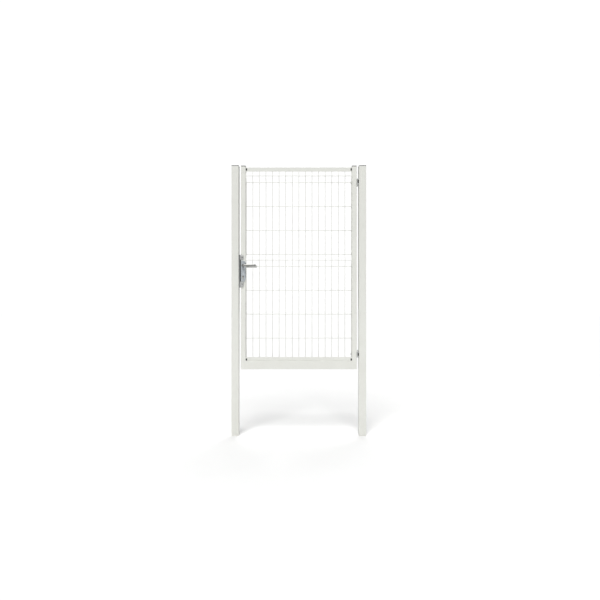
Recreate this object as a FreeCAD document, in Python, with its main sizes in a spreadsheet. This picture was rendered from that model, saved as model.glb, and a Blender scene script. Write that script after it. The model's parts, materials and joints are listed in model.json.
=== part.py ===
import FreeCAD, Part
import math
import os
import re
import Sketcher

# A single-leaf steel garden gate with two posts, a folded wire mesh leaf, an adjustable hinge pair and a
# mortise lock in the latch stile.  Frame: +X from the latch post to the hinge post, +Y away from the side
# that the stops are on, +Z up.  The origin is on the post feet's plane, midway between the posts.

SIZES = {
    # posts and their caps
    "post_width": 60, "post_wall": 2, "post_height": 2244, "post_corner": 4, "post_cap_height": 6,
    "passage": 1000, "plug_depth": 18, "plug_clearance": 0.2, "cap_corner": 1.5,
    # leaf frame
    "stile_width": 40, "stile_wall": 2, "stile_corner": 3.5, "leaf_gap": 17.5, "leaf_bottom": 552,
    "stile_length": 1691, "stile_cap_height": 7, "bottom_rail_height": 70,
    "channel_depth": 30, "channel_wall": 2, "channel_height": 32,
    "top_rail_bottom": 2201, "top_rail_height": 35, "rear_leg": 20,
    # wire mesh
    "wire_pitch": 55, "vertical_wire": 4.5, "horizontal_wire": 5, "mesh_back": 3, "fold_depth": 20,
    "fold_half": 50, "bend_radius": 14, "ridge_reach": 19.2, "fold_foot_reach": 0.4, "row_pitch": 200,
    "first_row": 811,
    "middle_fold": 1461, "top_fold": 2161, "wire_foot": 626, "wire_head": 2230,
    "clip_width": 11, "clip_height": 17, "clip_head": 2.5, "clip_stem": 5,
    "top_clip_height": 2218, "low_clip_height": 633, "clip_slot": 8, "wire_overhang": 2,
    # hinges: the pivot stands this far from the hinge post's face and behind the leaf's middle plane
    "upper_hinge": 2117, "lower_hinge": 675, "pivot_gap": 8.5, "pivot_back": 24, "pin_radius": 5,
    "pin_clearance": 0.05, "eye_radius": 8, "ear_inner": 12, "ear_outer": 27, "knuckle_half": 11.5,
    "hinge_front": 20, "fork_web": 5.9, "fork_web_back": 14, "fork_reach": 13.4, "ear_slope": 7,
    "knuckle_gap": 1,
    "shank_radius": 6, "shank_back": 9.6, "shank_length": 50.1, "washer_thickness": 1.6,
    "washer_radius": 10, "nut_flats": 18, "nut_height": 6, "pin_head_radius": 7.5, "pin_head": 2.7,
    "clip_ring": 1.2, "knuckle_screw_radius": 4, "knuckle_screw_head": 7, "knuckle_screw_length": 17,
    "fork_corner": 4, "countersink": 4, "pin_tail": 3.5, "pin_head_gap": 0.3, "ring_gap": 0.4,
    # keep on the latch post
    "keep_bottom": 1235, "keep_height": 270, "keep_depth": 12.5, "keep_wall": 3, "keep_front": 27,
    "keep_back": 17, "lug_reach": 39, "lug_thickness": 4, "low_lug_height": 45, "high_lug_height": 37,
    "pad_thickness": 2.7, "pad_margin": 2.5, "keep_screw_radius": 3, "keep_screw_head": 6,
    "keep_screw_front": 5, "keep_screw_inset": 22, "keep_screw_sink": 3, "keep_screw_tail": 8,
    "window_margin": 3, "lug_inset": 3,
    # lock
    "lock_axis": 17.5, "spindle_height": 1415, "cylinder_height": 1323, "forend_thickness": 2,
    "forend_width": 24, "forend_bottom": 1276, "forend_height": 194, "case_wall": 1.5, "case_depth": 36,
    "case_front": 10, "case_bottom": 1296, "case_height": 159, "spindle_size": 8, "spindle_length": 96,
    "bolt_play": 0.2, "profile_play": 0.3, "small_screw": 2, "small_screw_head": 4, "small_screw_length": 9,
    "small_sink": 2, "forend_screw_inset": 7, "latch_head": 20, "tail_length": 13, "tail_height": 4,
    "flat_part": 6, "hook_height": 8, "hub_radius": 9, "collar_radius": 7, "running_gap": 0.05,
    "arm_length": 18, "arm_width": 5,
    "latch_throw": 13, "hook_front": 2.9, "latch_bottom": 1427, "latch_height": 20, "latch_width": 12,
    "dead_bottom": 1334, "dead_height": 22, "dead_width": 8, "dead_length": 36,
    "barrel_radius": 8.5, "cylinder_drop": 24.5, "cylinder_half": 30, "cam_radius": 13.2, "cam_slot": 5.2,
    "fin_radius": 5, "plug_radius": 6.25, "cylinder_screw_height": 1304, "cylinder_screw": 2.5,
    "cylinder_screw_length": 24, "cam_half": 4.8, "cam_tooth": 6, "key_slot_width": 1.6,
    "key_slot_height": 8,
    "key_slot_depth": 5, "plug_proud": 0.5, "dead_notch": 15.5, "dead_notch_height": 5.5,
    # cover plates and levers
    "plate_bottom": 1284, "plate_height": 172, "plate_thickness": 8, "plate_wall": 2, "plate_corner": 4,
    "bolt_radius": 2.5, "high_bolt": 1380, "low_bolt": 1290, "bolt_head_radius": 4.5, "bolt_sink": 2.5,
    "boss_radius": 5, "plate_foot_side": 12, "plate_foot_start": 3, "plate_foot_end": 9,
    "plate_widening": 30, "plate_slope_drop": 16, "plate_slope_run": 11,
    "neck_radius": 9, "neck_length": 34, "lever_length": 106, "lever_bend": 13, "lever_half_height": 9.5,
    "lever_half_depth": 6.5, "lever_return": 9,
}

DOCUMENT = FreeCAD.newDocument("GardenGate")
SHEET = DOCUMENT.addObject("Spreadsheet::Sheet", "Sizes")
for row, (alias, number) in enumerate(SIZES.items(), start=1):
    SHEET.set(f"A{row}", alias)
    SHEET.set(f"B{row}", str(number))
    SHEET.setAlias(f"B{row}", alias)
DOCUMENT.recompute()

PARTS = {}

# Places that several pieces share, as expressions of the sheet's cells.
POST_FACE = "passage / 2"
STILE_OUT = "(passage / 2 - leaf_gap)"
STILE_IN = "(passage / 2 - leaf_gap - stile_width)"
STILE_MIDDLE = "(passage / 2 - leaf_gap - stile_width / 2)"
STILE_TOP = "leaf_bottom + stile_length"
CHANNEL_BOTTOM = "(leaf_bottom + bottom_rail_height)"
PIVOT_X = "(passage / 2 - pivot_gap)"
LOCK_X = "(-(passage / 2) + leaf_gap + lock_axis)"
LATCH_SIDE = "(-(passage / 2) + leaf_gap)"
HINGE_NAMES = ("upper", "lower")
HINGE_HEIGHTS = ("upper_hinge", "lower_hinge")
KNUCKLE_SCREW_PLACES = ("-12", "4")
KEEP_SCREW_HEIGHTS = (
    "keep_bottom + keep_screw_inset", "keep_bottom + keep_height - keep_screw_inset",
)
PLATE_BOLT_HEIGHTS = ("high_bolt", "low_bolt")
FOREND_SCREW_HEIGHTS = (
    "forend_bottom + forend_screw_inset", "forend_bottom + forend_height - forend_screw_inset",
)
# Half of the lever's turn, in degrees, and the number of coils in the latch's spring.
HALF_LEVER_TRAVEL = 21
SPRING_TURNS = 9
# Upright wires stand on both sides of the middle one, this many on each.
WIRES_EACH_SIDE = 8


def bound(text):
    """The expression with every alias pointing at its cell of the sheet."""

    def cell(word):
        alias = word.group(0)
        return f"Sizes.{alias}" if alias in SIZES else alias

    return re.sub(r"[a-z_]{3,}", cell, str(text))


def keep(label, thing):
    """Name a finished sub-part, so that it is written to a file of that name."""
    thing.Label = label
    PARTS[label] = thing
    return thing


def place(thing, corner):
    """Bind the placement of an object to three expressions."""
    for axis, text in zip("xyz", corner):
        thing.setExpression(f"Placement.Base.{axis}", bound(text))
    return thing


def box(name, corner, size):
    """A block from its lowest corner and its three lengths."""
    block = DOCUMENT.addObject("Part::Box", name)
    for side, text in zip(("Length", "Width", "Height"), size):
        block.setExpression(side, bound(text))
    return place(block, corner)


def rod(name, start, radius, length, along="z"):
    """A cylinder from the centre of its first end, along one of the axes."""
    cylinder = DOCUMENT.addObject("Part::Cylinder", name)
    cylinder.setExpression("Radius", bound(radius))
    cylinder.setExpression("Height", bound(length))
    turn_round(cylinder, along)
    return place(cylinder, start)


def cone(name, start, first_radius, last_radius, length, along="z"):
    """A cone from the centre of its first end, along one of the axes."""
    taper = DOCUMENT.addObject("Part::Cone", name)
    taper.setExpression("Radius1", bound(first_radius))
    taper.setExpression("Radius2", bound(last_radius))
    taper.setExpression("Height", bound(length))
    turn_round(taper, along)
    return place(taper, start)


def turn_round(thing, along):
    """Turn a shape that was made along Z so that it runs along the named direction."""
    directions = {
        "z": (0, 0, 1), "-z": (0, 0, -1), "x": (1, 0, 0), "-x": (-1, 0, 0), "y": (0, 1, 0), "-y": (
            0, -1, 0,
        ),
    }
    target = FreeCAD.Vector(*directions[along])
    thing.Placement.Rotation = FreeCAD.Rotation(FreeCAD.Vector(0, 0, 1), target)


def fuse(name, pieces):
    joined = DOCUMENT.addObject("Part::MultiFuse", name)
    joined.Shapes = pieces
    joined.Refine = True
    return joined


def group(name, solids):
    """Identical separate solids that share one file."""
    together = DOCUMENT.addObject("Part::Compound", name)
    together.Links = solids
    return together


def cut(name, base, tools):
    """The base less one or more tools."""
    tool = tools[0] if len(tools) == 1 else group(f"{name}_tools", tools)
    difference = DOCUMENT.addObject("Part::Cut", name)
    difference.Base = base
    difference.Tool = tool
    return difference


def round_edges(name, base, radius_alias, wanted):
    """Fillet the edges of a finished shape that a test picks out."""
    DOCUMENT.recompute()
    radius = SIZES[radius_alias]
    picked = [
        (index, radius, radius)
        for index, edge in enumerate(base.Shape.Edges, start=1)
        if wanted(edge)
    ]
    rounded = DOCUMENT.addObject("Part::Fillet", name)
    rounded.Base = base
    rounded.Edges = picked
    return rounded


def runs_along(edge, axis):
    """Whether a straight edge is parallel to the axis with this number."""
    if edge.Curve.TypeId != "Part::GeomLine":
        return False
    along = edge.tangentAt(edge.FirstParameter)
    return abs(along[axis]) > 0.999


def lies_at(edge, y):
    """Whether an edge lies wholly in the plane at this y."""
    return all(abs(vertex.Y - y) < 0.01 for vertex in edge.Vertexes)


def origin_plane(body, role):
    return next(plane for plane in body.Origin.OriginFeatures if plane.Role == role)


def new_sketch(body, name, role):
    sketch = body.newObject("Sketcher::SketchObject", name)
    sketch.AttachmentSupport = (origin_plane(body, role), [""])
    sketch.MapMode = "FlatFace"
    return sketch


def pin_point(sketch, geometry, point, corner, guess):
    """Bind a point of the sketch to two expressions, measured from the sketch's origin."""
    for kind, text, start in zip(("DistanceX", "DistanceY"), corner, guess):
        index = sketch.addConstraint(Sketcher.Constraint(kind, -1, 1, geometry, point, start))
        sketch.setExpression(f"Constraints[{index}]", bound(text))


def add_outline(sketch, corners):
    """A closed outline of straight lines through corners given as expressions."""
    first = sketch.GeometryCount
    count = len(corners)
    turn = 2 * math.pi / count
    guesses = [(50 * math.cos(i * turn), 50 * math.sin(i * turn)) for i in range(count)]
    for i, guess in enumerate(guesses):
        following = guesses[(i + 1) % count]
        sketch.addGeometry(
            Part.LineSegment(FreeCAD.Vector(*guess, 0), FreeCAD.Vector(*following, 0)), False,
        )
    for i in range(count):
        sketch.addConstraint(Sketcher.Constraint("Coincident", first + i, 2, first + (i + 1) % count, 1))
    for i, corner in enumerate(corners):
        pin_point(sketch, first + i, 1, corner, guesses[i])


def add_rectangle(sketch, low, high):
    add_outline(sketch, [low, (high[0], low[1]), high, (low[0], high[1])])


def padded(name, role, draw, length, corner=("0", "0", "0")):
    """A body with one padded sketch.  XY pads go up, XZ pads towards -Y and YZ pads towards +X."""
    body = DOCUMENT.addObject("PartDesign::Body", name)
    sketch = new_sketch(body, f"{name}_sketch", role)
    draw(sketch)
    pad = body.newObject("PartDesign::Pad", f"{name}_pad")
    pad.Profile = sketch
    pad.setExpression("Length", bound(length))
    place(body, corner)
    DOCUMENT.recompute()
    return body


def fillet_body(body, radius, wanted):
    """Round the edges of a body's tip that a test picks out."""
    base = body.Tip
    edges = [f"Edge{i}" for i, edge in enumerate(base.Shape.Edges, start=1) if wanted(edge)]
    rounding = body.newObject("PartDesign::Fillet", f"{body.Name}_rounding")
    rounding.Base = (base, edges)
    rounding.setExpression("Radius", bound(radius))
    DOCUMENT.recompute()
    return body


def outer_corners(half_width, axis):
    """A test for the long outer corner edges of a square tube that is centred on its own origin."""
    across = [i for i in range(3) if i != axis]

    def wanted(edge):
        if not runs_along(edge, axis):
            return False
        middle = edge.CenterOfMass
        return all(abs(abs(middle[i]) - half_width[i]) < 0.01 for i in across)

    return wanted


def square_tube(name, width, wall, length, corner, radius):
    """An upright square tube, centred on the place given for its foot."""
    def draw(sketch):
        half = f"{width} / 2"
        inner = f"({width} / 2 - {wall})"
        add_rectangle(sketch, (f"-{half}", f"-{half}"), (half, half))
        add_rectangle(sketch, (f"-{inner}", f"-{inner}"), (inner, inner))

    body = padded(name, "XY_Plane", draw, length, corner)
    reach = SIZES[width] / 2
    return fillet_body(body, radius, outer_corners((reach, reach, reach), 2))


def plug_cap(label, x, foot, width, wall, height):
    """A flat plastic cap whose plug goes down inside a square tube."""
    top = box(f"{label}_top", (f"{x} - {width} / 2", f"-{width} / 2", foot), (width, width, height))
    smooth = round_edges(
        f"{label}_smooth", top, "cap_corner", lambda edge: edge.CenterOfMass.z > 1 + low_z(top),
    )
    inside = f"({width} - 2 * {wall} - 2 * plug_clearance)"
    plug = box(
        f"{label}_plug",
        (f"{x} - {inside} / 2", f"-{inside} / 2", f"{foot} - plug_depth"),
        (inside, inside, "plug_depth"),
    )
    return keep(label, fuse(f"{label}_whole", [smooth, plug]))


def low_z(thing):
    return thing.Shape.BoundBox.ZMin


def build_posts():
    """The two square posts, with holes for the screws that hold the keep and the hinge knuckles."""
    middle = "(passage / 2 + post_width / 2)"
    latch = square_tube(
        "LatchPost", "post_width", "post_wall", "post_height", (f"-{middle}", "0", "0"), "post_corner",
    )
    hinge = square_tube(
        "HingePost", "post_width", "post_wall", "post_height", (middle, "0", "0"), "post_corner",
    )
    reach = "3 * post_wall"
    keep_holes = [
        rod(
            f"KeepHole{i}", (f"-{POST_FACE} + post_wall", "-keep_screw_front", z), "keep_screw_radius",
            reach, "-x",
        )
        for i, z in enumerate(KEEP_SCREW_HEIGHTS)
    ]
    hinge_holes = [
        rod(f"KnuckleHole{i}_{j}", (f"{POST_FACE} - post_wall", y, z), "knuckle_screw_radius", reach, "x")
        for i, z in enumerate(HINGE_HEIGHTS)
        for j, y in enumerate(KNUCKLE_SCREW_PLACES)
    ]
    keep("latch_post", cut("LatchPostDrilled", latch, keep_holes))
    keep("hinge_post", cut("HingePostDrilled", hinge, hinge_holes))
    for label, x in (("latch_post_cap", f"-{middle}"), ("hinge_post_cap", middle)):
        plug_cap(label, x, "post_height", "post_width", "post_wall", "post_cap_height")


def build_hinge(name, height):
    """One hinge: a fork on the leaf whose ears turn on a pin through a knuckle on the post."""
    out = STILE_OUT
    web_start = f"({out} + washer_thickness)"
    front_depth = "hinge_front + fork_web_back"

    def draw_fork(sketch):
        # A C that opens towards the post, its outer corners sloped beside the stile.
        tip = f"{web_start} + fork_reach"
        inner = f"{web_start} + fork_web"
        slope = f"{web_start} + ear_slope"
        add_outline(sketch, [
            (web_start, "-ear_outer + fork_corner"), (web_start, "ear_outer - fork_corner"), (
                slope, "ear_outer",
            ),
            (tip, "ear_outer"), (tip, "ear_inner"), (inner, "ear_inner"), (inner, "-ear_inner"),
            (tip, "-ear_inner"), (tip, "-ear_outer"), (slope, "-ear_outer"),
        ])

    pieces = [padded(
        f"{name}ForkFront", "XZ_Plane", draw_fork, front_depth, ("0", "fork_web_back", height),
    )]
    for level, foot in (("High", f"{height} + ear_inner"), ("Low", f"{height} - ear_outer")):
        thickness = "ear_outer - ear_inner"
        pieces.append(box(
            f"{name}Ear{level}", (f"{web_start} + 1", "0", foot), (
                "fork_reach - 1", "pivot_back", thickness,
            ),
        ))
        pieces.append(rod(f"{name}Eye{level}", (PIVOT_X, "pivot_back", foot), "eye_radius", thickness))
    shank = rod(f"{name}Shank", (web_start, "shank_back", height), "shank_radius", "shank_length", "-x")
    whole = fuse(f"{name}ForkWhole", [*pieces, shank])
    bore = rod(
        f"{name}ForkBore", (PIVOT_X, "pivot_back", f"{height} - 40"), "pin_radius + pin_clearance", "80",
    )
    keep(f"{name}_hinge_fork", cut(f"{name}Fork", whole, [bore]))

    block = box(
        f"{name}Block", (
            f"{web_start} + fork_web + knuckle_gap", "-hinge_front", f"{height} - knuckle_half",
        ),
        (
            f"{POST_FACE} - {web_start} - fork_web - knuckle_gap", "hinge_front + pivot_back",
            "2 * knuckle_half",
        ),
    )
    eye = rod(
        f"{name}Eye", (PIVOT_X, "pivot_back", f"{height} - knuckle_half"), "eye_radius", "2 * knuckle_half",
    )
    tools = [rod(f"{name}Bore", (PIVOT_X, "pivot_back", f"{height} - 20"), "pin_radius", "40")]
    screws = []
    face = f"({web_start} + fork_web + knuckle_gap)"
    for i, y in enumerate(KNUCKLE_SCREW_PLACES):
        for purpose, into in (("Seat", tools), ("Screw", screws)):
            head = cone(
                f"{name}{purpose}Head{i}", (face, y, height),
                "knuckle_screw_head", "knuckle_screw_radius", "countersink", "x",
            )
            shaft = rod(
                f"{name}{purpose}Shaft{i}", (face, y, height), "knuckle_screw_radius",
                "knuckle_screw_length", "x",
            )
            into.append(fuse(f"{name}{purpose}{i}", [head, shaft]))
    knuckle = fuse(f"{name}KnuckleBody", [block, eye])
    keep(f"{name}_hinge_knuckle", cut(f"{name}Knuckle", knuckle, tools))

    pin = rod(
        f"{name}PinShaft", (PIVOT_X, "pivot_back", f"{height} - ear_outer - pin_tail"), "pin_radius",
        "2 * ear_outer + pin_tail + pin_head_gap",
    )
    head = rod(
        f"{name}PinHead", (PIVOT_X, "pivot_back", f"{height} + ear_outer + pin_head_gap"),
        "pin_head_radius", "pin_head",
    )
    keep(f"{name}_hinge_pin", fuse(f"{name}Pin", [pin, head]))
    ring = rod(
        f"{name}Ring", (PIVOT_X, "pivot_back", f"{height} - ear_outer - ring_gap"), "pin_head_radius",
        "clip_ring", "-z",
    )
    hole = rod(f"{name}RingHole", (PIVOT_X, "pivot_back", f"{height} - ear_outer"), "pin_radius", "5", "-z")
    circlip = cut(f"{name}Circlip", ring, [hole])

    washer = rod(f"{name}Washer", (out, "shank_back", height), "washer_radius", "washer_thickness", "x")
    washer_hole = rod(f"{name}WasherHole", (f"{out} - 2", "shank_back", height), "shank_radius", "8", "x")
    ring_washer = cut(f"{name}WasherRing", washer, [washer_hole])
    return {
        "screws": screws, "circlips": [circlip], "washers": [ring_washer],
        "nuts": [hinge_nut(name, height)],
    }


def hinge_nut(name, height):
    """A thin hexagon nut on the end of the fork's shank, against the inner face of the stile."""
    prism = DOCUMENT.addObject("Part::Prism", f"{name}NutPrism")
    prism.Polygon = 6
    prism.setExpression("Circumradius", bound("nut_flats / sqrt(3)"))
    prism.setExpression("Height", bound("nut_height"))
    to_x = FreeCAD.Rotation(FreeCAD.Vector(0, 0, 1), FreeCAD.Vector(-1, 0, 0))
    prism.Placement.Rotation = to_x
    place(prism, (STILE_IN, "shank_back", height))
    hole = rod(
        f"{name}NutHole", (f"{STILE_IN} + 2", "shank_back", height), "shank_radius", "nut_height + 4", "-x",
    )
    return cut(f"{name}Nut", prism, [hole])


def build_hinges():
    sets = [build_hinge(name, height) for name, height in zip(HINGE_NAMES, HINGE_HEIGHTS)]
    labels = {
        "screws": "knuckle_screws", "circlips": "hinge_circlips",
        "washers": "hinge_washers", "nuts": "hinge_nuts",
    }
    for key, label in labels.items():
        keep(label, group(f"Group_{label}", [solid for pieces in sets for solid in pieces[key]]))


def build_stiles():
    """Hinge stile with two shank holes; latch stile with the cut-outs for the lock."""
    stile = ("stile_width", "stile_wall", "stile_length")
    hinge = square_tube("HingeStile", *stile, (STILE_MIDDLE, "0", "leaf_bottom"), "stile_corner")
    shank_holes = [
        rod(
            f"ShankHole{i}", (f"{STILE_OUT} + 5", "shank_back", z), "shank_radius", "stile_width + 10",
            "-x",
        )
        for i, z in enumerate(HINGE_HEIGHTS)
    ]
    keep("hinge_stile", cut("HingeStileDrilled", hinge, shank_holes))

    latch = square_tube("LatchStile", *stile, (f"-{STILE_MIDDLE}", "0", "leaf_bottom"), "stile_corner")
    case_window = box(
        "CaseWindow", (f"{LATCH_SIDE} - 1", "-case_front - 0.3", "case_bottom - 0.5"),
        ("stile_wall + 2", "2 * case_front + 0.6", "case_height + 1"),
    )
    through = "2 * stile_width"
    hub_hole = rod("HubHole", (LOCK_X, "-stile_width", "spindle_height"), "neck_radius + 1.5", through, "y")
    barrel_hole = rod(
        "BarrelHole", (LOCK_X, "-stile_width", "cylinder_height"), "barrel_radius + 0.5", through, "y",
    )
    fin_hole = box(
        "FinHole", (f"{LOCK_X} - 5.5", "-stile_width", "cylinder_height - cylinder_drop - 0.5"),
        ("11", through, "cylinder_drop"),
    )
    bolt_holes = [
        rod(f"PlateBoltHole{i}", (LOCK_X, "-stile_width", z), "bolt_radius", through, "y")
        for i, z in enumerate(PLATE_BOLT_HEIGHTS)
    ]
    forend_holes = [
        rod(f"ForendHole{i}", (f"{LATCH_SIDE} - 5", "0", z), "small_screw", "10", "x")
        for i, z in enumerate(FOREND_SCREW_HEIGHTS)
    ]
    tools = [case_window, hub_hole, barrel_hole, fin_hole, *bolt_holes, *forend_holes]
    keep("latch_stile", cut("LatchStileDrilled", latch, tools))
    for label, x in (("latch_stile_cap", f"-{STILE_MIDDLE}"), ("hinge_stile_cap", STILE_MIDDLE)):
        plug_cap(label, x, STILE_TOP, "stile_width", "stile_wall", "stile_cap_height")


def build_rails():
    """Bottom rail tube, with a channel on it and another at the top that take the ends of the mesh."""
    length = f"2 * {STILE_IN}"

    def draw_tube(sketch):
        half = "stile_width / 2"
        inner = "(stile_width / 2 - stile_wall)"
        add_rectangle(sketch, (f"-{half}", "0"), (half, "bottom_rail_height"))
        add_rectangle(sketch, (f"-{inner}", "stile_wall"), (inner, "bottom_rail_height - stile_wall"))

    tube = padded("BottomRail", "YZ_Plane", draw_tube, length, (f"-{STILE_IN}", "0", "leaf_bottom"))
    half = SIZES["stile_width"] / 2
    height = SIZES["bottom_rail_height"]

    def tube_corner(edge):
        middle = edge.CenterOfMass
        at_side = abs(abs(middle.y) - half) < 0.01
        at_end = min(abs(middle.z), abs(middle.z - height)) < 0.01
        return runs_along(edge, 0) and at_side and at_end

    keep("bottom_rail", fillet_body(tube, "stile_corner", tube_corner))

    for label, foot, rise, opens_up, clip_level in (
        ("mesh_channel", CHANNEL_BOTTOM, "channel_height", True, "low_clip_height"),
        ("top_rail", "top_rail_bottom", "top_rail_height", False, "top_clip_height"),
    ):
        outer = box(
            f"{label}_outer", (f"-{STILE_IN}", "-channel_depth / 2", foot), (length, "channel_depth", rise),
        )
        rounded = round_edges(f"{label}_rounded", outer, "plate_wall", closed_side_edges(outer, opens_up))
        inside_foot = f"{foot} + channel_wall" if opens_up else f"{foot} - channel_wall"
        hollow = box(
            f"{label}_hollow", (f"-{STILE_IN} - 1", "-channel_depth / 2 + channel_wall", inside_foot),
            (f"{length} + 2", "channel_depth - 2 * channel_wall", rise),
        )
        # The leg at the rear is shorter than the front one.
        rear_foot = f"{foot} + rear_leg" if opens_up else f"{foot} - 1"
        shortening = box(
            f"{label}_rear", (f"-{STILE_IN} - 1", "channel_depth / 2 - channel_wall - 1", rear_foot),
            (f"{length} + 2", "channel_wall + 2", f"{rise} - rear_leg + 1"),
        )
        slots = [
            box(
                f"{label}_slot{side}", (
                    clip_place(side), "-channel_depth", f"{clip_level} - clip_slot / 2",
                ),
                ("clip_stem", "channel_depth", "clip_slot"),
            )
            for side in (-1, 1)
        ]
        keep(label, cut(f"{label}_cut", rounded, [hollow, shortening, *slots]))


def closed_side_edges(outer, opens_up):
    """A test for the long edges on the closed side of a channel that opens up or down."""
    def wanted(edge):
        span = outer.Shape.BoundBox
        level = span.ZMin if opens_up else span.ZMax
        return runs_along(edge, 0) and abs(edge.CenterOfMass.z - level) < 0.01

    return wanted


def clip_place(side):
    """Where the stem of a mesh clip starts, at the outermost wire on this side."""
    return f"{side} * wire_pitch * {WIRES_EACH_SIDE} - clip_stem / 2"


def wire_path(x):
    """The line of one upright wire: straight, with a folded ridge towards -Y at each fold."""
    back = -SIZES["mesh_back"]
    front = back - SIZES["fold_depth"]
    half = SIZES["fold_half"]
    corners = [(back, SIZES["wire_foot"])]
    for middle in (SIZES["middle_fold"], SIZES["top_fold"]):
        corners += [(back, middle - half), (front, middle), (back, middle + half)]
    corners.append((back, SIZES["wire_head"]))
    points = [FreeCAD.Vector(x, y, z) for y, z in corners]
    return rounded_path(points, SIZES["bend_radius"])


def rounded_path(points, radius):
    """A wire of straight runs joined by tangent arcs of one radius."""
    edges = []
    start = points[0]
    for before, corner, after in zip(points, points[1:], points[2:]):
        inward = (before - corner).normalize()
        outward = (after - corner).normalize()
        half_turn = (math.pi - inward.getAngle(outward)) / 2
        setback = radius * math.tan(half_turn)
        leave = corner + inward * setback
        join = corner + outward * setback
        to_centre = (inward + outward).normalize()
        top = corner + to_centre * (radius / math.cos(half_turn) - radius)
        edges.append(Part.LineSegment(start, leave).toShape())
        edges.append(Part.Arc(leave, top, join).toShape())
        start = join
    edges.append(Part.LineSegment(start, points[-1]).toShape())
    return Part.Wire(edges)


def build_mesh():
    """Seventeen folded upright wires, and cross wires welded to their front on each row and fold."""
    radius = SIZES["vertical_wire"] / 2
    uprights = []
    for i in range(-WIRES_EACH_SIDE, WIRES_EACH_SIDE + 1):
        path = wire_path(i * SIZES["wire_pitch"])
        foot = path.Edges[0].Vertexes[0].Point
        section = Part.Wire(Part.Circle(foot, FreeCAD.Vector(0, 0, 1), radius).toShape())
        uprights.append(path.makePipeShell([section], True, False))
    verticals = DOCUMENT.addObject("Part::Feature", "VerticalWires")
    verticals.Shape = Part.makeCompound(uprights)
    keep("vertical_wires", verticals)

    base = "(-mesh_back - vertical_wire / 2 - horizontal_wire / 2)"
    ridge = f"{base} - ridge_reach"
    foot = f"{base} - fold_foot_reach"
    levels = [(f"first_row + {i} * row_pitch", base) for i in (0, 1, 2)]
    levels += [(f"middle_fold + fold_half + {i} * row_pitch", base) for i in (1, 2)]
    for fold in ("middle_fold", "top_fold"):
        levels += [(f"{fold} - fold_half", foot), (fold, ridge), (f"{fold} + fold_half", foot)]
    start = f"-wire_pitch * {WIRES_EACH_SIDE} - wire_overhang"
    length = f"2 * (wire_pitch * {WIRES_EACH_SIDE} + wire_overhang)"
    rods = [
        rod(f"CrossWire{i}", (start, y, z), "horizontal_wire / 2", length, "x")
        for i, (z, y) in enumerate(levels)
    ]
    keep("horizontal_wires", group("HorizontalWires", rods))

    clips = []
    for level in ("top_clip_height", "low_clip_height"):
        for side in (-1, 1):
            name = f"MeshClip_{level}_{'left' if side < 0 else 'right'}"
            centre = f"{side} * ({STILE_IN} - clip_width / 2)"
            face = "-channel_depth / 2"
            head = box(
                f"{name}_head", (
                    f"{centre} - clip_width / 2", f"{face} - clip_head", f"{level} - clip_height / 2",
                ),
                ("clip_width", "clip_head", "clip_height"),
            )
            soft = round_edges(f"{name}_soft", head, "post_wall", lambda edge: runs_along(edge, 1))
            stem = box(
                f"{name}_stem", (clip_place(side), face, f"{level} - clip_slot / 2"),
                ("clip_stem", "channel_depth / 2 - mesh_back - vertical_wire / 2", "clip_slot"),
            )
            clips.append(fuse(name, [soft, stem]))
    keep("mesh_clips", group("MeshClips", clips))


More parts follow.
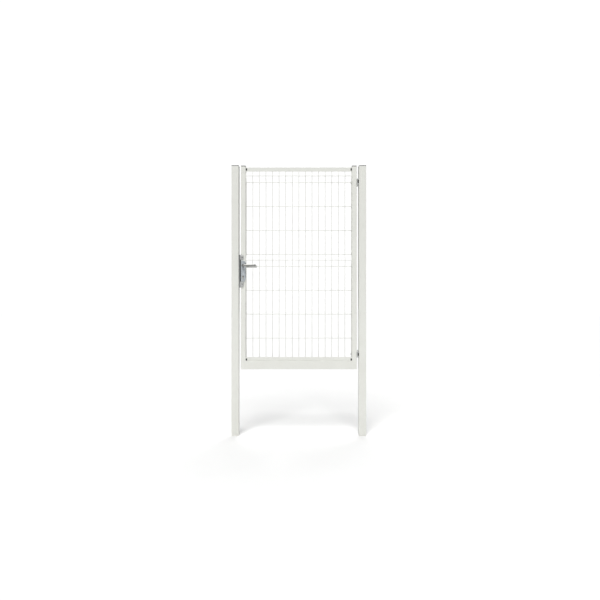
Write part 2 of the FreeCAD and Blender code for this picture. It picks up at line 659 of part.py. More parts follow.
def build_keep():
    """A channel on the latch post with windows for both bolts and two lugs that stop the leaf."""
    post = f"-{POST_FACE}"
    body = box(
        "KeepBlock", (post, "-keep_front", "keep_bottom"),
        ("keep_depth", "keep_front + keep_back", "keep_height"),
    )
    smooth = round_edges(
        "KeepSmooth", body, "post_wall", lambda edge: runs_along(edge, 2) and edge.CenterOfMass.x > -490,
    )
    hollow = box(
        "KeepHollow", (f"{post} - 1", "-keep_front + keep_wall", "keep_bottom - 1"),
        ("keep_depth + 1 - keep_wall", "keep_front + keep_back - 2 * keep_wall", "keep_height + 2"),
    )
    latch_window = box(
        "LatchWindow", (post, "-latch_width / 2 - window_margin", "latch_bottom - window_margin"),
        ("2 * keep_depth", "latch_width + 2 * window_margin", "latch_height + 2 * window_margin"),
    )
    dead_window = box(
        "DeadWindow", (post, "-dead_width / 2 - window_margin", "dead_bottom - window_margin"),
        ("2 * keep_depth", "dead_width + 2 * window_margin", "dead_height + 2 * window_margin"),
    )
    screws = []
    seats = []
    sleeves = []
    face = f"({post} + keep_depth)"
    for i, z in enumerate(KEEP_SCREW_HEIGHTS):
        for purpose, into in (("KeepSeat", seats), ("KeepScrew", screws)):
            head = cone(
                f"{purpose}Head{i}", (face, "-keep_screw_front", z), "keep_screw_head", "keep_screw_radius",
                "keep_screw_sink", "-x",
            )
            shaft = rod(
                f"{purpose}Shaft{i}", (face, "-keep_screw_front", z), "keep_screw_radius",
                "keep_depth + keep_screw_tail", "-x",
            )
            into.append(fuse(f"{purpose}{i}", [head, shaft]))
        sleeve = rod(
            f"KeepSleeve{i}", (post, "-keep_screw_front", z), "keep_screw_head", "keep_depth - keep_wall",
            "x",
        )
        bore = rod(
            f"KeepSleeveBore{i}", (post, "-keep_screw_front", z), "keep_screw_radius", "keep_depth", "x",
        )
        sleeves.append(cut(f"KeepSpacer{i}", sleeve, [bore]))
    channel = cut("KeepChannel", smooth, [hollow, latch_window, dead_window, *seats])
    lugs = []
    pads = []
    for name, foot, rise in (
        ("Low", "keep_bottom + lug_inset", "low_lug_height"),
        ("High", "keep_bottom + keep_height - lug_inset - high_lug_height", "high_lug_height"),
    ):
        lug = box(f"{name}Lug", (post, "-keep_front", foot), ("lug_reach", "lug_thickness", rise))
        lugs.append(round_edges(
            f"{name}LugRound", lug, "plate_corner",
            lambda edge: runs_along(edge, 1) and edge.CenterOfMass.x > -480,
        ))
        pads.append(box(
            f"{name}Pad", (f"{post} + leaf_gap + 1", "-keep_front + lug_thickness", f"{foot} + pad_margin"),
            ("lug_reach - leaf_gap - 1 - pad_margin", "pad_thickness", f"{rise} - 2 * pad_margin"),
        ))
    keep("keep", fuse("KeepWhole", [channel, *lugs]))
    keep("keep_pads", group("KeepPads", pads))
    keep("keep_screws", group("KeepScrews", screws))
    keep("keep_spacers", group("KeepSpacers", sleeves))


def build_lock_case():
    """Forend and open case in one piece, closed by a flat cover on the rear side."""
    side = LATCH_SIDE
    forend = box(
        "ForendBlock", (f"{side} - forend_thickness", "-forend_width / 2", "forend_bottom"),
        ("forend_thickness", "forend_width", "forend_height"),
    )
    forend_round = round_edges("ForendRound", forend, "plate_corner", lambda edge: runs_along(edge, 0))
    shell = box(
        "CaseBlock", (side, "-case_front", "case_bottom"),
        ("case_depth", "2 * case_front - case_wall", "case_height"),
    )
    hollow = box(
        "CaseHollow", (f"{side} + case_wall", "-case_front + case_wall", "case_bottom + case_wall"),
        ("case_depth - 2 * case_wall", "2 * case_front", "case_height - 2 * case_wall"),
    )
    open_case = cut("CaseShell", shell, [hollow])
    joined = fuse("CaseJoined", [forend_round, open_case])
    cover = box(
        "CoverBlock", (side, "case_front - case_wall", "case_bottom"),
        ("case_depth", "case_wall", "case_height"),
    )
    windows = [
        box(
            "LatchMouth", (f"{side} - 4", "-latch_width / 2 - bolt_play", "latch_bottom - bolt_play"),
            ("8", "latch_width + 2 * bolt_play", "latch_height + 2 * bolt_play"),
        ),
        box(
            "DeadMouth", (f"{side} - 4", "-dead_width / 2 - bolt_play", "dead_bottom - bolt_play"),
            ("8", "dead_width + 2 * bolt_play", "dead_height + 2 * bolt_play"),
        ),
        cylinder_profile("CaseProfile", "profile_play", "-case_front - 5", "2 * case_front + 10"),
        rod("CaseCollarBore", (LOCK_X, "-20", "spindle_height"), "collar_radius + running_gap", "40", "y"),
        rod("CaseBoltBore", (LOCK_X, "-20", "high_bolt"), "bolt_radius", "40", "y"),
        rod(
            "CylinderScrewBore", (f"{side} - 6", "0", "cylinder_screw_height"), "cylinder_screw", "12", "x",
        ),
    ]
    windows += [
        rod(f"ForendScrewBore{i}", (f"{side} - 6", "0", z), "small_screw", "12", "x") for i, z in enumerate(
            FOREND_SCREW_HEIGHTS,
        )
    ]
    windows.append(cylinder_screw_head("CylinderScrewSeat"))
    windows += [
        cone(
            f"ForendScrewSeat{i}", (f"{side} - forend_thickness", "0", z), "small_screw_head",
            "small_screw", "small_sink", "x",
        )
        for i, z in enumerate(FOREND_SCREW_HEIGHTS)
    ]
    keep("lock_case", cut("LockCase", joined, windows))
    cover_windows = [
        cylinder_profile("CoverProfile", "profile_play", "-case_front - 5", "2 * case_front + 10"),
        rod("CoverCollarBore", (LOCK_X, "-20", "spindle_height"), "collar_radius + running_gap", "40", "y"),
        rod("CoverBoltBore", (LOCK_X, "-20", "high_bolt"), "bolt_radius", "40", "y"),
    ]
    keep("lock_case_cover", cut("LockCaseCover", cover, cover_windows))
    screws = []
    for i, z in enumerate(FOREND_SCREW_HEIGHTS):
        head = cone(
            f"ForendScrewHead{i}", (f"{side} - forend_thickness", "0", z), "small_screw_head",
            "small_screw", "small_sink", "x",
        )
        shaft = rod(
            f"ForendScrewShaft{i}", (f"{side} - forend_thickness", "0", z), "small_screw",
            "small_screw_length", "x",
        )
        screws.append(fuse(f"ForendScrew{i}", [head, shaft]))
    keep("forend_screws", group("ForendScrews", screws))


def cylinder_profile(name, margin, start_y, length):
    """A round barrel with a narrower fin below it, running along Y."""
    barrel = rod(
        f"{name}Barrel", (LOCK_X, start_y, "cylinder_height"), f"barrel_radius + {margin}", length, "y",
    )
    fin_foot = "cylinder_height - cylinder_drop + fin_radius"
    fin = box(
        f"{name}Fin", (f"{LOCK_X} - fin_radius - {margin}", start_y, fin_foot),
        (f"2 * fin_radius + 2 * {margin}", length, "cylinder_drop - fin_radius"),
    )
    foot = rod(f"{name}Foot", (LOCK_X, start_y, fin_foot), f"fin_radius + {margin}", length, "y")
    return fuse(name, [barrel, fin, foot])


def build_cylinder():
    """The profile cylinder: body, two plugs with key slots, the cam between them and its screw."""
    profile = cylinder_profile("CylinderBody", "0", "-cylinder_half", "2 * cylinder_half")
    bore = rod(
        "PlugBore", (LOCK_X, "-cylinder_half - 5", "cylinder_height"), "plug_radius + running_gap",
        "2 * cylinder_half + 10", "y",
    )
    slot = box(
        "CamSlot", (f"{LOCK_X} - 15", "-cam_slot", "cylinder_height - cam_radius - 1"), (
            "30", "2 * cam_slot", "40",
        ),
    )
    screw_bore = rod(
        "CylinderScrewHole", (f"{LOCK_X} - 20", "0", "cylinder_screw_height"), "cylinder_screw", "30", "x",
    )
    keep("lock_cylinder", cut("LockCylinder", profile, [bore, slot, screw_bore]))
    plugs = []
    for name, start, face in (
        ("Front", "-cylinder_half - plug_proud", "-cylinder_half - 1"), (
            "Rear", "cam_slot", "cylinder_half - 4",
        ),
    ):
        plug = rod(
            f"{name}Plug", (LOCK_X, start, "cylinder_height"), "plug_radius",
            "cylinder_half + plug_proud - cam_slot", "y",
        )
        key_slot = box(f"{name}KeySlot", (
            f"{LOCK_X} - key_slot_width / 2", face, "cylinder_height - key_slot_height / 2",
        ),
            ("key_slot_width", "key_slot_depth", "key_slot_height"))
        plugs.append(cut(f"{name}PlugCut", plug, [key_slot]))
    keep("cylinder_plugs", group("CylinderPlugs", plugs))
    disc = rod("CamDisc", (LOCK_X, "-cam_half", "cylinder_height"), "plug_radius + 1", "2 * cam_half", "y")
    tooth = box(
        "CamTooth", (f"{LOCK_X} - cam_tooth / 2", "-cam_half", "cylinder_height - cam_radius + 0.5"),
        ("cam_tooth", "2 * cam_half", "cam_radius - 0.5"),
    )
    keep("cylinder_cam", fuse("CylinderCam", [disc, tooth]))
    head = cylinder_screw_head("CylinderScrewHead")
    shaft = rod(
        "CylinderScrewShaft", (f"{LATCH_SIDE} - forend_thickness", "0", "cylinder_screw_height"),
        "cylinder_screw", "cylinder_screw_length", "x",
    )
    keep("cylinder_screw", fuse("CylinderScrew", [head, shaft]))


def cylinder_screw_head(name):
    """The countersunk head of the screw that holds the cylinder, flush in the forend."""
    place_of_head = (f"{LATCH_SIDE} - forend_thickness", "0", "cylinder_screw_height")
    return cone(name, place_of_head, "small_screw_head", "cylinder_screw", "small_sink", "x")


def build_bolts():
    """The bevelled spring latch with its hooked tail and spring, and the square dead bolt."""
    reach = "(latch_throw + forend_thickness)"
    front = f"({LATCH_SIDE} - {reach})"

    def draw_head(sketch):
        # Seen from above: the tip slopes back towards +Y, the side from which the leaf closes.
        half = "latch_width / 2"
        add_outline(sketch, [
            ("0", f"-{half}"), ("latch_head", f"-{half}"), ("latch_head", half), ("9", half), ("0", "-2"),
        ])

    head = padded("LatchHead", "XY_Plane", draw_head, "latch_height", (front, "0", "latch_bottom"))
    tail = box(
        "LatchTail", (f"{front} + latch_head", "-flat_part / 2", "spindle_height + arm_length + 1"),
        ("tail_length", "flat_part", "tail_height"),
    )
    hook = box(
        "LatchHook", (f"{LOCK_X} - hook_front", "-flat_part / 2", "spindle_height + arm_length - 3"),
        ("hook_front + 0.5", "flat_part", "hook_height"),
    )
    keep("latch_bolt", fuse("LatchBolt", [head, tail, hook]))

    spring = DOCUMENT.addObject("Part::Feature", "LatchSpring")
    spring.Shape = coil_spring()
    keep("latch_spring", spring)

    flush = f"({LATCH_SIDE} - forend_thickness)"
    bar = box(
        "DeadBar", (flush, "-dead_width / 2", "dead_bottom"), ("dead_length", "dead_width", "dead_height"),
    )
    notch = box(
        "DeadNotch", (f"{LOCK_X} - 2", "-dead_width", "dead_bottom - 1"),
        ("dead_notch", "2 * dead_width", "dead_notch_height"),
    )
    keep("dead_bolt", cut("DeadBolt", bar, [notch]))


def coil_spring():
    """The latch's return spring, a coil along X from the latch head to the back of the case."""
    radius = 2.6
    wire = 0.4
    side = -SIZES["passage"] / 2 + SIZES["leaf_gap"]
    start = side - SIZES["latch_throw"] - SIZES["forend_thickness"] + SIZES["latch_head"] + wire
    end = side + SIZES["case_depth"] - SIZES["case_wall"] - wire
    helix = Part.makeHelix((end - start) / SPRING_TURNS, end - start, radius)
    circle = Part.Circle(FreeCAD.Vector(radius, 0, 0), FreeCAD.Vector(0, 1, 0), wire)
    solid = Part.Wire(helix.Edges).makePipeShell([Part.Wire(circle.toShape())], True, True)
    solid.rotate(FreeCAD.Vector(0, 0, 0), FreeCAD.Vector(0, 1, 0), 90)
    height = SIZES["latch_bottom"] + SIZES["latch_height"] - 5
    solid.translate(FreeCAD.Vector(start, 0, height))
    return solid


def build_handles():
    """Square spindle, follower with its arm, and a lever on each side."""
    half = "spindle_size / 2"
    centre = "spindle_height"
    keep("spindle", box(
        "Spindle", (f"{LOCK_X} - {half}", "-spindle_length / 2", f"{centre} - {half}"),
        ("spindle_size", "spindle_length", "spindle_size"),
    ))
    hub = rod(
        "FollowerHub", (LOCK_X, "-case_front + case_wall + 0.3", centre), "hub_radius",
        "2 * (case_front - case_wall - 0.3)", "y",
    )
    collar = rod(
        "FollowerCollar", (LOCK_X, "-case_front - 2", centre), "collar_radius", "2 * case_front + 4", "y",
    )
    arm = box(
        "FollowerArm", ("-arm_width / 2", "-flat_part / 2", "0"), ("arm_width", "flat_part", "arm_length"),
    )
    # At rest the arm leans towards the latch by half of its travel.
    holder = group("FollowerArmLeaning", [arm])
    holder.Placement.Rotation = FreeCAD.Rotation(FreeCAD.Vector(0, 1, 0), -HALF_LEVER_TRAVEL)
    place(holder, (LOCK_X, "0", centre))
    square = box(
        "FollowerSquare", (f"{LOCK_X} - {half}", "-40", f"{centre} - {half}"),
        ("spindle_size", "80", "spindle_size"),
    )
    keep("follower", cut("Follower", fuse("FollowerBody", [hub, collar, holder]), [square]))
    for name, mirror in (("front", 1), ("rear", -1)):
        keep(f"{name}_lever", lever(name, mirror))


def lever(name, side):
    """A lever: a round neck out of the cover plate, then a bowed oval grip towards the hinge side."""
    body = DOCUMENT.addObject("PartDesign::Body", f"{name}_lever_body")
    sizes = SIZES
    out = sizes["neck_length"]
    bend = sizes["lever_bend"]
    reach = sizes["lever_length"]
    back = sizes["lever_return"]
    path = new_sketch(body, f"{name}_lever_path", "XY_Plane")
    # The path lies in the XY plane: out from the plate, round a bend, along, and back at the tip.
    points = [
        ("0", "0"), ("0", "-(neck_length - lever_bend)"), ("lever_bend", "-neck_length"),
        ("lever_length - lever_return", "-neck_length"), ("lever_length", "-(neck_length - lever_return)"),
    ]
    guess = [(0, 0), (0, bend - out), (bend, -out), (reach - back, -out), (reach, back - out)]
    vectors = [FreeCAD.Vector(x, y, 0) for x, y in guess]

    def arc(centre, radius, start_degrees, end_degrees):
        circle = Part.Circle(FreeCAD.Vector(*centre, 0), FreeCAD.Vector(0, 0, 1), radius)
        return Part.ArcOfCircle(circle, math.radians(start_degrees), math.radians(end_degrees))

    path.addGeometry(Part.LineSegment(vectors[0], vectors[1]), False)
    path.addGeometry(arc((bend, bend - out), bend, 180, 270), False)
    path.addGeometry(Part.LineSegment(vectors[2], vectors[3]), False)
    path.addGeometry(arc((reach - back, back - out), back, 270, 360), False)
    for first, first_end, second, second_end in ((0, 2, 1, 1), (1, 2, 2, 1), (2, 2, 3, 1)):
        path.addConstraint(Sketcher.Constraint("Coincident", first, first_end, second, second_end))
    for geometry, point, index in ((0, 1, 0), (0, 2, 1), (2, 1, 2), (2, 2, 3), (3, 2, 4)):
        pin_point(path, geometry, point, points[index], guess[index])
    for geometry, radius, start in ((1, "lever_bend", bend), (3, "lever_return", back)):
        index = path.addConstraint(Sketcher.Constraint("Radius", geometry, start))
        path.setExpression(f"Constraints[{index}]", bound(radius))
    section = new_sketch(body, f"{name}_lever_section", "XZ_Plane")
    ellipse = Part.Ellipse(
        FreeCAD.Vector(0, sizes["lever_half_height"], 0), FreeCAD.Vector(sizes["lever_half_depth"], 0, 0),
        FreeCAD.Vector(0, 0, 0),
    )
    section.addGeometry(ellipse, False)
    section.addConstraint(Sketcher.Constraint("Coincident", 0, 3, -1, 1))
    DOCUMENT.recompute()
    pipe = body.newObject("PartDesign::AdditivePipe", f"{name}_lever_grip")
    pipe.Profile = section
    pipe.Spine = (path, [f"Edge{i}" for i in range(1, 5)])
    DOCUMENT.recompute()
    if side < 0:
        body.Placement.Rotation = FreeCAD.Rotation(FreeCAD.Vector(1, 0, 0), 180)
    plate_face = "(stile_width / 2 + plate_thickness)"
    start = f"{-side} * ({plate_face} + 0.5)"
    place(body, (LOCK_X, start, "spindle_height"))
    neck = rod(
        f"{name}_neck", (LOCK_X, f"{-side} * (stile_width / 2 + 1)", "spindle_height"), "neck_radius",
        "plate_thickness + 10", "-y" if side > 0 else "y",
    )
    whole = fuse(f"{name}_lever_whole", [body, neck])
    half = "spindle_size / 2"
    bore = box(
        f"{name}_lever_bore", (f"{LOCK_X} - {half}", "-spindle_length / 2", f"spindle_height - {half}"),
        ("spindle_size", "spindle_length", "spindle_size"),
    )
    return cut(f"{name}_lever_cut", whole, [bore])


def build_cover_plates():
    """Two cast plates over the lock, with a sloped top corner, a narrower foot and hollow backs."""
    left = LATCH_SIDE
    top = "plate_bottom + plate_height"

    def outline(inset):
        low_x = f"{left} + {inset}"
        high_x = f"{left} + stile_width - {inset}"
        return [
            (f"{low_x} + plate_foot_start", f"plate_bottom + {inset}"),
            (f"{high_x} - plate_foot_end", f"plate_bottom + {inset}"),
            (high_x, "plate_bottom + plate_widening"), (high_x, f"{top} - plate_slope_drop"),
            (f"{high_x} - plate_slope_run", f"{top} - {inset}"), (low_x, f"{top} - {inset}"),
            (low_x, "plate_bottom + plate_foot_side"),
        ]

    for name, rear_face, hollow_face in (
        ("front", "-stile_width / 2", "-stile_width / 2 + 1"),
        ("rear", "stile_width / 2 + plate_thickness", "stile_width / 2 + plate_thickness - plate_wall"),
    ):
        plate = padded(
            f"{name}_plate", "XZ_Plane", lambda sketch: add_outline(sketch, outline("0")), "plate_thickness",
            ("0", rear_face, "0"),
        )
        fillet_body(plate, "plate_corner", lambda edge: runs_along(edge, 1))
        span = plate.Tip.Shape.BoundBox
        outside = span.YMin if name == "front" else span.YMax
        fillet_body(plate, "plate_wall", lambda edge: lies_at(edge, outside))
        hollow_depth = "plate_thickness - plate_wall"
        if name == "front":
            hollow_depth += " + 1"
        hollow = padded(
            f"{name}_plate_hollow", "XZ_Plane", lambda sketch: add_outline(sketch, outline("plate_wall")),
            hollow_depth, ("0", hollow_face, "0"),
        )
        open_plate = cut(f"{name}_plate_open", plate, [hollow])
        outer_face = "-stile_width / 2 - plate_thickness" if name == "front" else "stile_width / 2"
        bosses = [
            rod(
                f"{name}_boss{i}", (LOCK_X, outer_face + " + 0.5", z), "boss_radius",
                "plate_thickness - 0.5", "y",
            )
            for i, z in enumerate(PLATE_BOLT_HEIGHTS)
        ]
        if name == "rear":
            bosses = [
                rod(f"{name}_boss{i}", (LOCK_X, outer_face, z), "boss_radius", "plate_thickness - 0.5", "y")
                for i, z in enumerate(PLATE_BOLT_HEIGHTS)
            ]
        filled = fuse(f"{name}_plate_bossed", [open_plate, *bosses])
        tools = [
            rod(f"{name}_plate_hub", (LOCK_X, "-60", "spindle_height"), "neck_radius + 0.3", "120", "y"),
            cylinder_profile(f"{name}_plate_profile", "profile_play", "-60", "120"),
        ]
        for i, z in enumerate(PLATE_BOLT_HEIGHTS):
            if name == "front":
                tools.append(rod(
                    f"front_thread{i}", (LOCK_X, "-stile_width / 2 - 6", z), "bolt_radius", "10", "y",
                ))
            else:
                tools.append(plate_bolt(f"rear_seat{i}", z))
        keep(f"{name}_cover_plate", cut(f"{name}_plate_cut", filled, tools))
    keep(
        "cover_plate_bolts",
        group(
            "CoverPlateBolts", [plate_bolt(f"PlateBolt{i}", z) for i, z in enumerate(PLATE_BOLT_HEIGHTS)],
        ),
    )


def plate_bolt(name, height):
    """A countersunk bolt whose head is flush in the rear plate and whose thread ends in the front one."""
    face = "(stile_width / 2 + plate_thickness)"
    head = cone(f"{name}Head", (LOCK_X, face, height), "bolt_head_radius", "bolt_radius", "bolt_sink", "-y")
    shaft = rod(
        f"{name}Shaft", (LOCK_X, face, height), "bolt_radius", "stile_width + plate_thickness + 6", "-y",
    )
    return fuse(name, [head, shaft])


def check_and_write():
    """Stop on any failed object or empty shape, then write one file for each sub-part."""
    failed = [thing.Name for thing in DOCUMENT.Objects if {"Invalid", "Error"} & set(thing.State)]
    if failed:
        raise RuntimeError(f"objects failed to recompute: {failed}")
    for label, thing in PARTS.items():
        shape = thing.Shape
        if shape.isNull() or not shape.isValid() or not shape.Solids:
            raise RuntimeError(f"{label} has no valid solid")
    os.makedirs("parts", exist_ok=True)
    for label, thing in PARTS.items():
        thing.Shape.exportStep(f"parts/{label}.step")
        print(f"{label}: {len(thing.Shape.Solids)} solid(s), {thing.Shape.Volume / 1000:.1f} cm3")


build_posts()
build_hinges()
build_stiles()
build_rails()
build_mesh()
build_keep()
build_lock_case()
build_cylinder()
build_bolts()
build_handles()
build_cover_plates()
DOCUMENT.recompute()
check_and_write()
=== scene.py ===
import json
import math

import bmesh
import bpy
from mathutils import Matrix, Vector, noise

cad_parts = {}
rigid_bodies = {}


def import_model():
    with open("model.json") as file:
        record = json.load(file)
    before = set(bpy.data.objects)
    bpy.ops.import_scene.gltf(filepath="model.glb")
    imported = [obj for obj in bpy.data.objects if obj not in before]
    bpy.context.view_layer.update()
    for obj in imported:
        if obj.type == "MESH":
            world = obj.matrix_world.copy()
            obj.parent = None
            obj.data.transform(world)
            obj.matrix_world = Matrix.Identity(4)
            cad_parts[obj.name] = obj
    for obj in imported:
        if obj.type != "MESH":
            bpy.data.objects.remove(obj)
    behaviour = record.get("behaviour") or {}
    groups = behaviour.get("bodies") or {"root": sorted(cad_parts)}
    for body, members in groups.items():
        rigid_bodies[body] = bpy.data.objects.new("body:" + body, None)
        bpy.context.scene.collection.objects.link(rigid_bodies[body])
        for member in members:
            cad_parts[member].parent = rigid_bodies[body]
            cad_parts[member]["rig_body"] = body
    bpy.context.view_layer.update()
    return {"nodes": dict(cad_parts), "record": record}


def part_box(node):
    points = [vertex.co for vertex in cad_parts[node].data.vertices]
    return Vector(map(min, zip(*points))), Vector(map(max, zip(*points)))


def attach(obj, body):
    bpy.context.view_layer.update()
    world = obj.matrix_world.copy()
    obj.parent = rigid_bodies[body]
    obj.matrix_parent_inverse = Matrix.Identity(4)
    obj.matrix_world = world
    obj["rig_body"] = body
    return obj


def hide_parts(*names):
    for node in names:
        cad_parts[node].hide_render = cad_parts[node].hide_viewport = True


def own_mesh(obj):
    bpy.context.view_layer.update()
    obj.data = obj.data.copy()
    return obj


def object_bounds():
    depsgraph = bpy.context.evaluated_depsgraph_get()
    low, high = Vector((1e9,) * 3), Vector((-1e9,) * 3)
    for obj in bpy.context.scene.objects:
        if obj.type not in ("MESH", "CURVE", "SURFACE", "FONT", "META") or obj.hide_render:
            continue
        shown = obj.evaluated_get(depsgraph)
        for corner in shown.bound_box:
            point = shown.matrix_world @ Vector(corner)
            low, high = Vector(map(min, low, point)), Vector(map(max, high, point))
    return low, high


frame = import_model()

MM = 0.001
NODES = frame["nodes"]
MATERIALS = {}

BEVEL_SEGMENTS = 3
BEVEL_FROM = math.radians(32)
WELD_DISTANCE = 1e-6


# ---------------------------------------------------------------- materials

class Shade:
    """A material's node tree, with short calls for the nodes that these materials share."""

    def __init__(self, name):
        self.material = bpy.data.materials.new(name)
        self.material.use_nodes = True
        self.tree = self.material.node_tree
        self.surface = self.tree.nodes["Principled BSDF"]
        self.place = self.node("ShaderNodeTexCoord").outputs["Object"]

    def node(self, kind, **values):
        made = self.tree.nodes.new(kind)
        for key, value in values.items():
            setattr(made, key, value)
        return made

    def link(self, start, end):
        self.tree.links.new(start, end)

    def stretched(self, scale):
        mapping = self.node("ShaderNodeMapping")
        mapping.inputs["Scale"].default_value = scale
        self.link(self.place, mapping.inputs["Vector"])
        return mapping.outputs["Vector"]

    def noise(self, scale, detail=2.0, rough=0.5, vector=None):
        made = self.node("ShaderNodeTexNoise")
        made.inputs["Scale"].default_value = scale
        made.inputs["Detail"].default_value = detail
        made.inputs["Roughness"].default_value = rough
        self.link(vector or self.place, made.inputs["Vector"])
        return made.outputs["Fac"]

    def cells(self, scale, vector=None):
        made = self.node("ShaderNodeTexVoronoi")
        made.inputs["Scale"].default_value = scale
        self.link(vector or self.place, made.inputs["Vector"])
        return made.outputs["Color"]

    def ranged(self, value, low, high, new_low, new_high):
        made = self.node("ShaderNodeMapRange")
        limits = {"From Min": low, "From Max": high, "To Min": new_low, "To Max": new_high}
        for name, number in limits.items():
            made.inputs[name].default_value = number
        self.link(value, made.inputs["Value"])
        return made.outputs["Result"]

    def mixed(self, factor, first, second):
        made = self.node("ShaderNodeMix", data_type="RGBA")
        for socket, value in ((made.inputs[6], first), (made.inputs[7], second)):
            if isinstance(value, tuple):
                socket.default_value = (*value, 1.0)
            else:
                self.link(value, socket)
        self.link(factor, made.inputs[0])
        return made.outputs[2]

    def maths(self, operation, first, second):
        made = self.node("ShaderNodeMath", operation=operation)
        for socket, value in zip(made.inputs, (first, second)):
            if isinstance(value, (int, float)):
                socket.default_value = value
            else:
                self.link(value, socket)
        return made.outputs[0]

    def height(self):
        """The height above the post feet, for what gathers low down."""
        split = self.node("ShaderNodeSeparateXYZ")
        self.link(self.place, split.inputs[0])
        return split.outputs["Z"]

    def bump(self, value, depth, strength=1.0, under=None):
        made = self.node("ShaderNodeBump")
        made.inputs["Distance"].default_value = depth
        made.inputs["Strength"].default_value = strength
        self.link(value, made.inputs["Height"])
        if under is not None:
            self.link(under, made.inputs["Normal"])
        return made.outputs["Normal"]

    def finish(self, colour, roughness, normal, **fixed):
        self.link(colour, self.surface.inputs["Base Color"])
        self.link(roughness, self.surface.inputs["Roughness"])
        self.link(normal, self.surface.inputs["Normal"])
        for name, value in fixed.items():
            self.surface.inputs[name.replace("_", " ")].default_value = value
        return self.material


def powder_coat(name, peel_depth):
    """Warm white satin powder coat: orange peel, faint clouding, rain streaks and a little dust low down."""
    bright_white = (0.775, 0.780, 0.735)
    cloudy_white = (0.745, 0.748, 0.702)
    rain_streak = (0.66, 0.66, 0.61)
    ground_dust = (0.52, 0.49, 0.42)
    dust_top = 0.75
    shade = Shade(name)
    clouds = shade.noise(5.0, 4.0, 0.6)
    streaks = shade.noise(1.0, 5.0, 0.65, shade.stretched((70.0, 70.0, 2.5)))
    specks = shade.noise(420.0, 2.0, 0.7)
    clean = shade.mixed(shade.ranged(clouds, 0.35, 0.7, 0.0, 1.0), bright_white, cloudy_white)
    streaky = shade.mixed(shade.ranged(streaks, 0.62, 0.85, 0.0, 0.35), clean, rain_streak)
    low_down = shade.ranged(shade.height(), 0.0, dust_top, 0.30, 0.0)
    dust = shade.maths("MULTIPLY", low_down, shade.ranged(specks, 0.45, 0.75, 0.0, 1.0))
    colour = shade.mixed(dust, streaky, ground_dust)
    roughness = shade.ranged(shade.noise(60.0, 3.0), 0.3, 0.7, 0.30, 0.42)
    peel = shade.bump(shade.noise(900.0, 2.0, 0.4), peel_depth, 0.7)
    waves = shade.bump(shade.noise(140.0, 1.0), peel_depth * 1.5, 0.5, peel)
    return shade.finish(
        colour, roughness, waves, Specular_IOR_Level=0.5, Coat_Weight=0.12, Coat_Roughness=0.2,
    )


def moulded_plastic(name, dark, light, grain_depth, roughness):
    """Moulded plastic with a fine sparked grain, scuffs and a dusty bloom."""
    scuffed = tuple(min(1.0, 1.7 * channel) for channel in light)
    shade = Shade(name)
    scuffs = shade.noise(1.0, 6.0, 0.7, shade.stretched((260.0, 60.0, 260.0)))
    bloom = shade.noise(35.0, 4.0, 0.6)
    base = shade.mixed(shade.ranged(bloom, 0.35, 0.75, 0.0, 1.0), dark, light)
    colour = shade.mixed(shade.ranged(scuffs, 0.66, 0.8, 0.0, 0.35), base, scuffed)
    rough = shade.ranged(scuffs, 0.3, 0.8, roughness - 0.08, roughness + 0.14)
    grain = shade.bump(shade.noise(2600.0, 2.0, 0.6), grain_depth, 0.8)
    return shade.finish(colour, rough, grain, Specular_IOR_Level=0.45)


def rubber(name):
    """Matt black rubber with a grey bloom and a fine grain."""
    black = (0.018, 0.018, 0.019)
    bloomed = (0.05, 0.049, 0.047)
    shade = Shade(name)
    bloom = shade.noise(90.0, 5.0, 0.7)
    colour = shade.mixed(shade.ranged(bloom, 0.4, 0.75, 0.0, 1.0), black, bloomed)
    rough = shade.ranged(bloom, 0.3, 0.8, 0.62, 0.85)
    grain = shade.bump(shade.noise(1500.0, 3.0, 0.7), 0.00004, 0.9)
    return shade.finish(colour, rough, grain, Specular_IOR_Level=0.3)


def galvanised(name, tone=1.0):
    """Dull zinc: spangle cells of slightly different greys, white bloom and fine pitting."""
    dark_grey = tuple(tone * channel for channel in (0.52, 0.53, 0.525))
    light_grey = tuple(tone * channel for channel in (0.68, 0.69, 0.68))
    bloom_grey = tuple(tone * channel for channel in (0.76, 0.76, 0.74))
    shade = Shade(name)
    spangle = shade.node("ShaderNodeRGBToBW")
    shade.link(shade.cells(260.0), spangle.inputs[0])
    cell = spangle.outputs[0]
    bloom = shade.noise(70.0, 5.0, 0.65)
    base = shade.mixed(shade.ranged(cell, 0.1, 0.9, 0.0, 1.0), dark_grey, light_grey)
    colour = shade.mixed(shade.ranged(bloom, 0.55, 0.8, 0.0, 0.5), base, bloom_grey)
    rough = shade.ranged(cell, 0.1, 0.9, 0.36, 0.52)
    pits = shade.bump(shade.noise(700.0, 4.0, 0.6), 0.00005, 0.8)
    return shade.finish(colour, rough, pits, Metallic=0.85)


def brushed_metal(name, dark, light, grain, roughness, metallic):
    """Metal with fine parallel brushing and a few handling marks; grain gives the stretch along each axis."""
    handled = tuple(0.75 * channel for channel in dark)
    shade = Shade(name)
    lines = shade.noise(1.0, 3.0, 0.6, shade.stretched(grain))
    marks = shade.noise(45.0, 5.0, 0.6)
    base = shade.mixed(shade.ranged(lines, 0.3, 0.7, 0.0, 1.0), dark, light)
    colour = shade.mixed(shade.ranged(marks, 0.6, 0.8, 0.0, 0.4), base, handled)
    line_rough = shade.ranged(lines, 0.3, 0.7, roughness - 0.05, roughness + 0.07)
    rough = shade.maths("ADD", line_rough, shade.ranged(marks, 0.4, 0.8, 0.0, 0.08))
    hair = shade.bump(lines, 0.00002, 0.6)
    return shade.finish(colour, rough, hair, Metallic=metallic)


